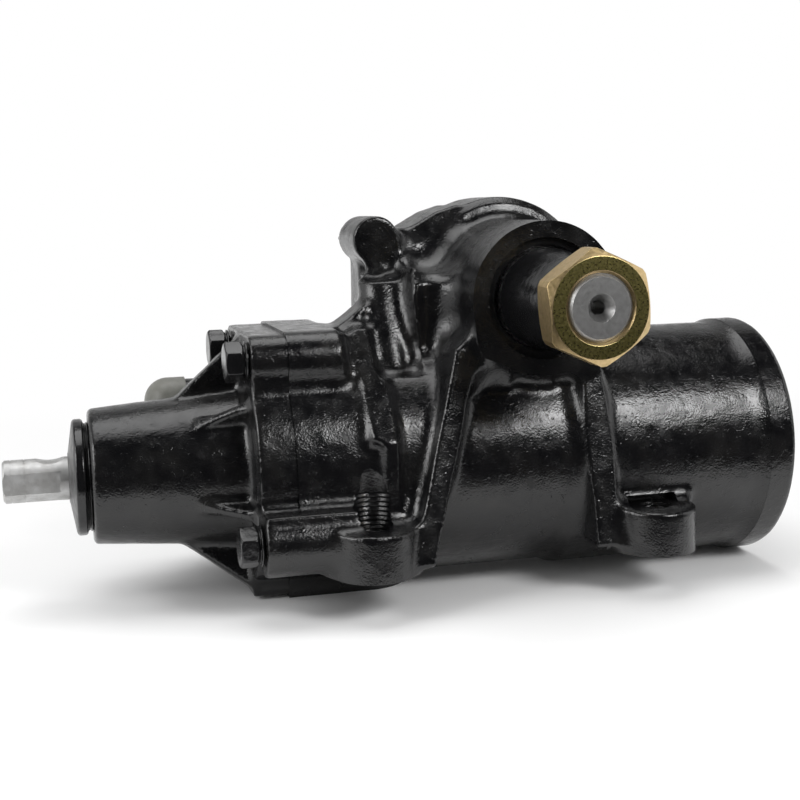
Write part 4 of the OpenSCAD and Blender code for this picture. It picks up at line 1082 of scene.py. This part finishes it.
# %% Nut, washer and output shaft
FACE_SHARE, CORNER_CUT, SLIVER = 0.965, 0.7 * MM, 0.01 * MM


def hex_nut(name, across_flats, low, high, bore_r, turn, chamfer):
    """A nut along y, with a corner that many degrees clockwise from the top, seen from the front."""
    corner_r = across_flats / math.sqrt(3)
    face_r, rim = across_flats / 2 * FACE_SHARE, corner_r - CORNER_CUT
    outline = [(corner_r * math.cos(a), corner_r * math.sin(a))
               for a in (math.radians(turn + 60 * k) for k in range(6))]
    nut = solid_object(name, *prism("y", outline, low, high))
    barrel = lathe("y", SHAFT_AXIS, [(face_r, low - SLIVER), (rim, low + chamfer),
                                     (rim, high - chamfer), (face_r, high + SLIVER)], 192)
    combine(nut, solid_object("barrel", *barrel), "INTERSECT")
    countersink, beyond = 1.3 * MM, 1 * MM
    mouth = bore_r + countersink + beyond
    hole = lathe("y", SHAFT_AXIS, [(mouth, low - beyond), (bore_r, low + countersink),
                                   (bore_r, high - countersink), (mouth, high + beyond)])
    machined(nut, [hole])
    return softened(nut, 0.18 * MM, 20)


NUT_FRONT, NUT_BACK, NUT_TURN, SHAFT_TIP = -42 * MM, -26 * MM, 54.5, -42.3 * MM
nut = hex_nut("pitman_nut_plated", 46 * MM, NUT_FRONT, NUT_BACK, 15.05 * MM, NUT_TURN, 2.5 * MM)
painted(nut, yellow_zinc)
nut.data.materials.append(olive_zinc)
END_FACING = 0.95
for face in nut.data.polygons:
    face.material_index = 1 if abs(face.normal.y) > END_FACING else 0
fitted(nut, "sector", "yellow_zinc", "pitman_nut")

washer_outline = [(20.4, -26), (20.4, -20.05), (15.3, -20.05), (15.3, -26)]
washer = solid_object("lock_washer_split", *ring("y", SHAFT_AXIS, in_mm(washer_outline)))
split_points, split_faces = block((-0.7 * MM, -28 * MM, -24 * MM), (0.7 * MM, -18 * MM, -14 * MM))
split_points[:, 0] += 0.5 * (split_points[:, 1] - NUT_BACK)
machined(washer, [(split_points, split_faces)])
softened(washer, 0.35 * MM)
painted(washer, washer_zinc)
fitted(washer, "sector", "washer_steel", "pitman_lock_washer")

output_shaft = copied("sector_shaft", "output_shaft_ground")
tip = SHAFT_TIP / MM
centre_hole = [(6.8, tip - 0.5), (6.3, tip), (3.25, tip + 4.4), (3.25, tip + 16)]
end_chamfer = [(17, tip - 0.5), (17, tip + 1.8), (15.2, tip + 1.8), (13.4, tip), (13.4, tip - 0.5)]
machined(output_shaft, [lathe("y", SHAFT_AXIS, in_mm(centre_hole)),
                        ring("y", SHAFT_AXIS, in_mm(end_chamfer))])
softened(output_shaft, 0.25 * MM)
painted(output_shaft, shaft_steel)
for finish in (smooth_enamel, ground_steel):
    output_shaft.data.materials.append(finish)
PAINT_START, PAINT_END = -20.02 * MM, 24 * MM
for face in output_shaft.data.polygons:
    face.material_index = int(face.center.y >= PAINT_START) + int(face.center.y >= PAINT_END)
fitted(output_shaft, "sector", "shaft_steel", "sector_shaft")

# %% [markdown]
# ## The back and the rear end
# Behind the cover a slotted screw with a lock nut sets the mesh of the teeth. The rear end of
# the cylinder is closed with a plug that a sprung ring holds. Neither is seen in the photograph,
# but both are finished, because the gear can be turned round.

# %% Adjuster, end plug and ring
screw = copied("lash_adjuster_screw", "lash_screw_threaded")
SCREW_LOW, SCREW_HIGH, SCREW_PITCH = 128, 153.5, 1.5
flanks = [(6.1 if k % 2 == 0 else 5.3, SCREW_HIGH - 0.5 * SCREW_PITCH * k)
          for k in range(int(2 * (SCREW_HIGH - SCREW_LOW) / SCREW_PITCH) + 1)]
machined(screw, [ring("y", SHAFT_AXIS, in_mm([(8, flanks[-1][1]), (8, SCREW_HIGH)] + flanks), 64)])
shade(softened(screw, 0.12 * MM), 25)
painted(screw, ground_steel)
fitted(screw, "housing", "ground_steel", "lash_adjuster_screw")

lock_nut = hex_nut("lash_nut_plain", 19 * MM, COVER_END_Y, COVER_END_Y + 9 * MM, 6.05 * MM, 0, 1.2 * MM)
painted(lock_nut, smooth_enamel)
fitted(lock_nut, "housing", "ground_steel", "lash_adjuster_nut")

for node_name, name, slot, finish, width in (
        ("end_plug", "end_plug_turned", "black_casting", smooth_enamel, 0.7),
        ("end_plug_retaining_ring", "sprung_ring", "ground_steel", ground_steel, 0.3)):
    piece = softened(copied(node_name, name), width * MM)
    painted(piece, finish)
    fitted(piece, "housing", slot, node_name)

# %% [markdown]
# ## The size
# The skin must not make the gear larger than the imported model. Here the finished gear's box
# is measured; the imported model's box was measured when it was loaded.

# %% Measure the size
low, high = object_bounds()
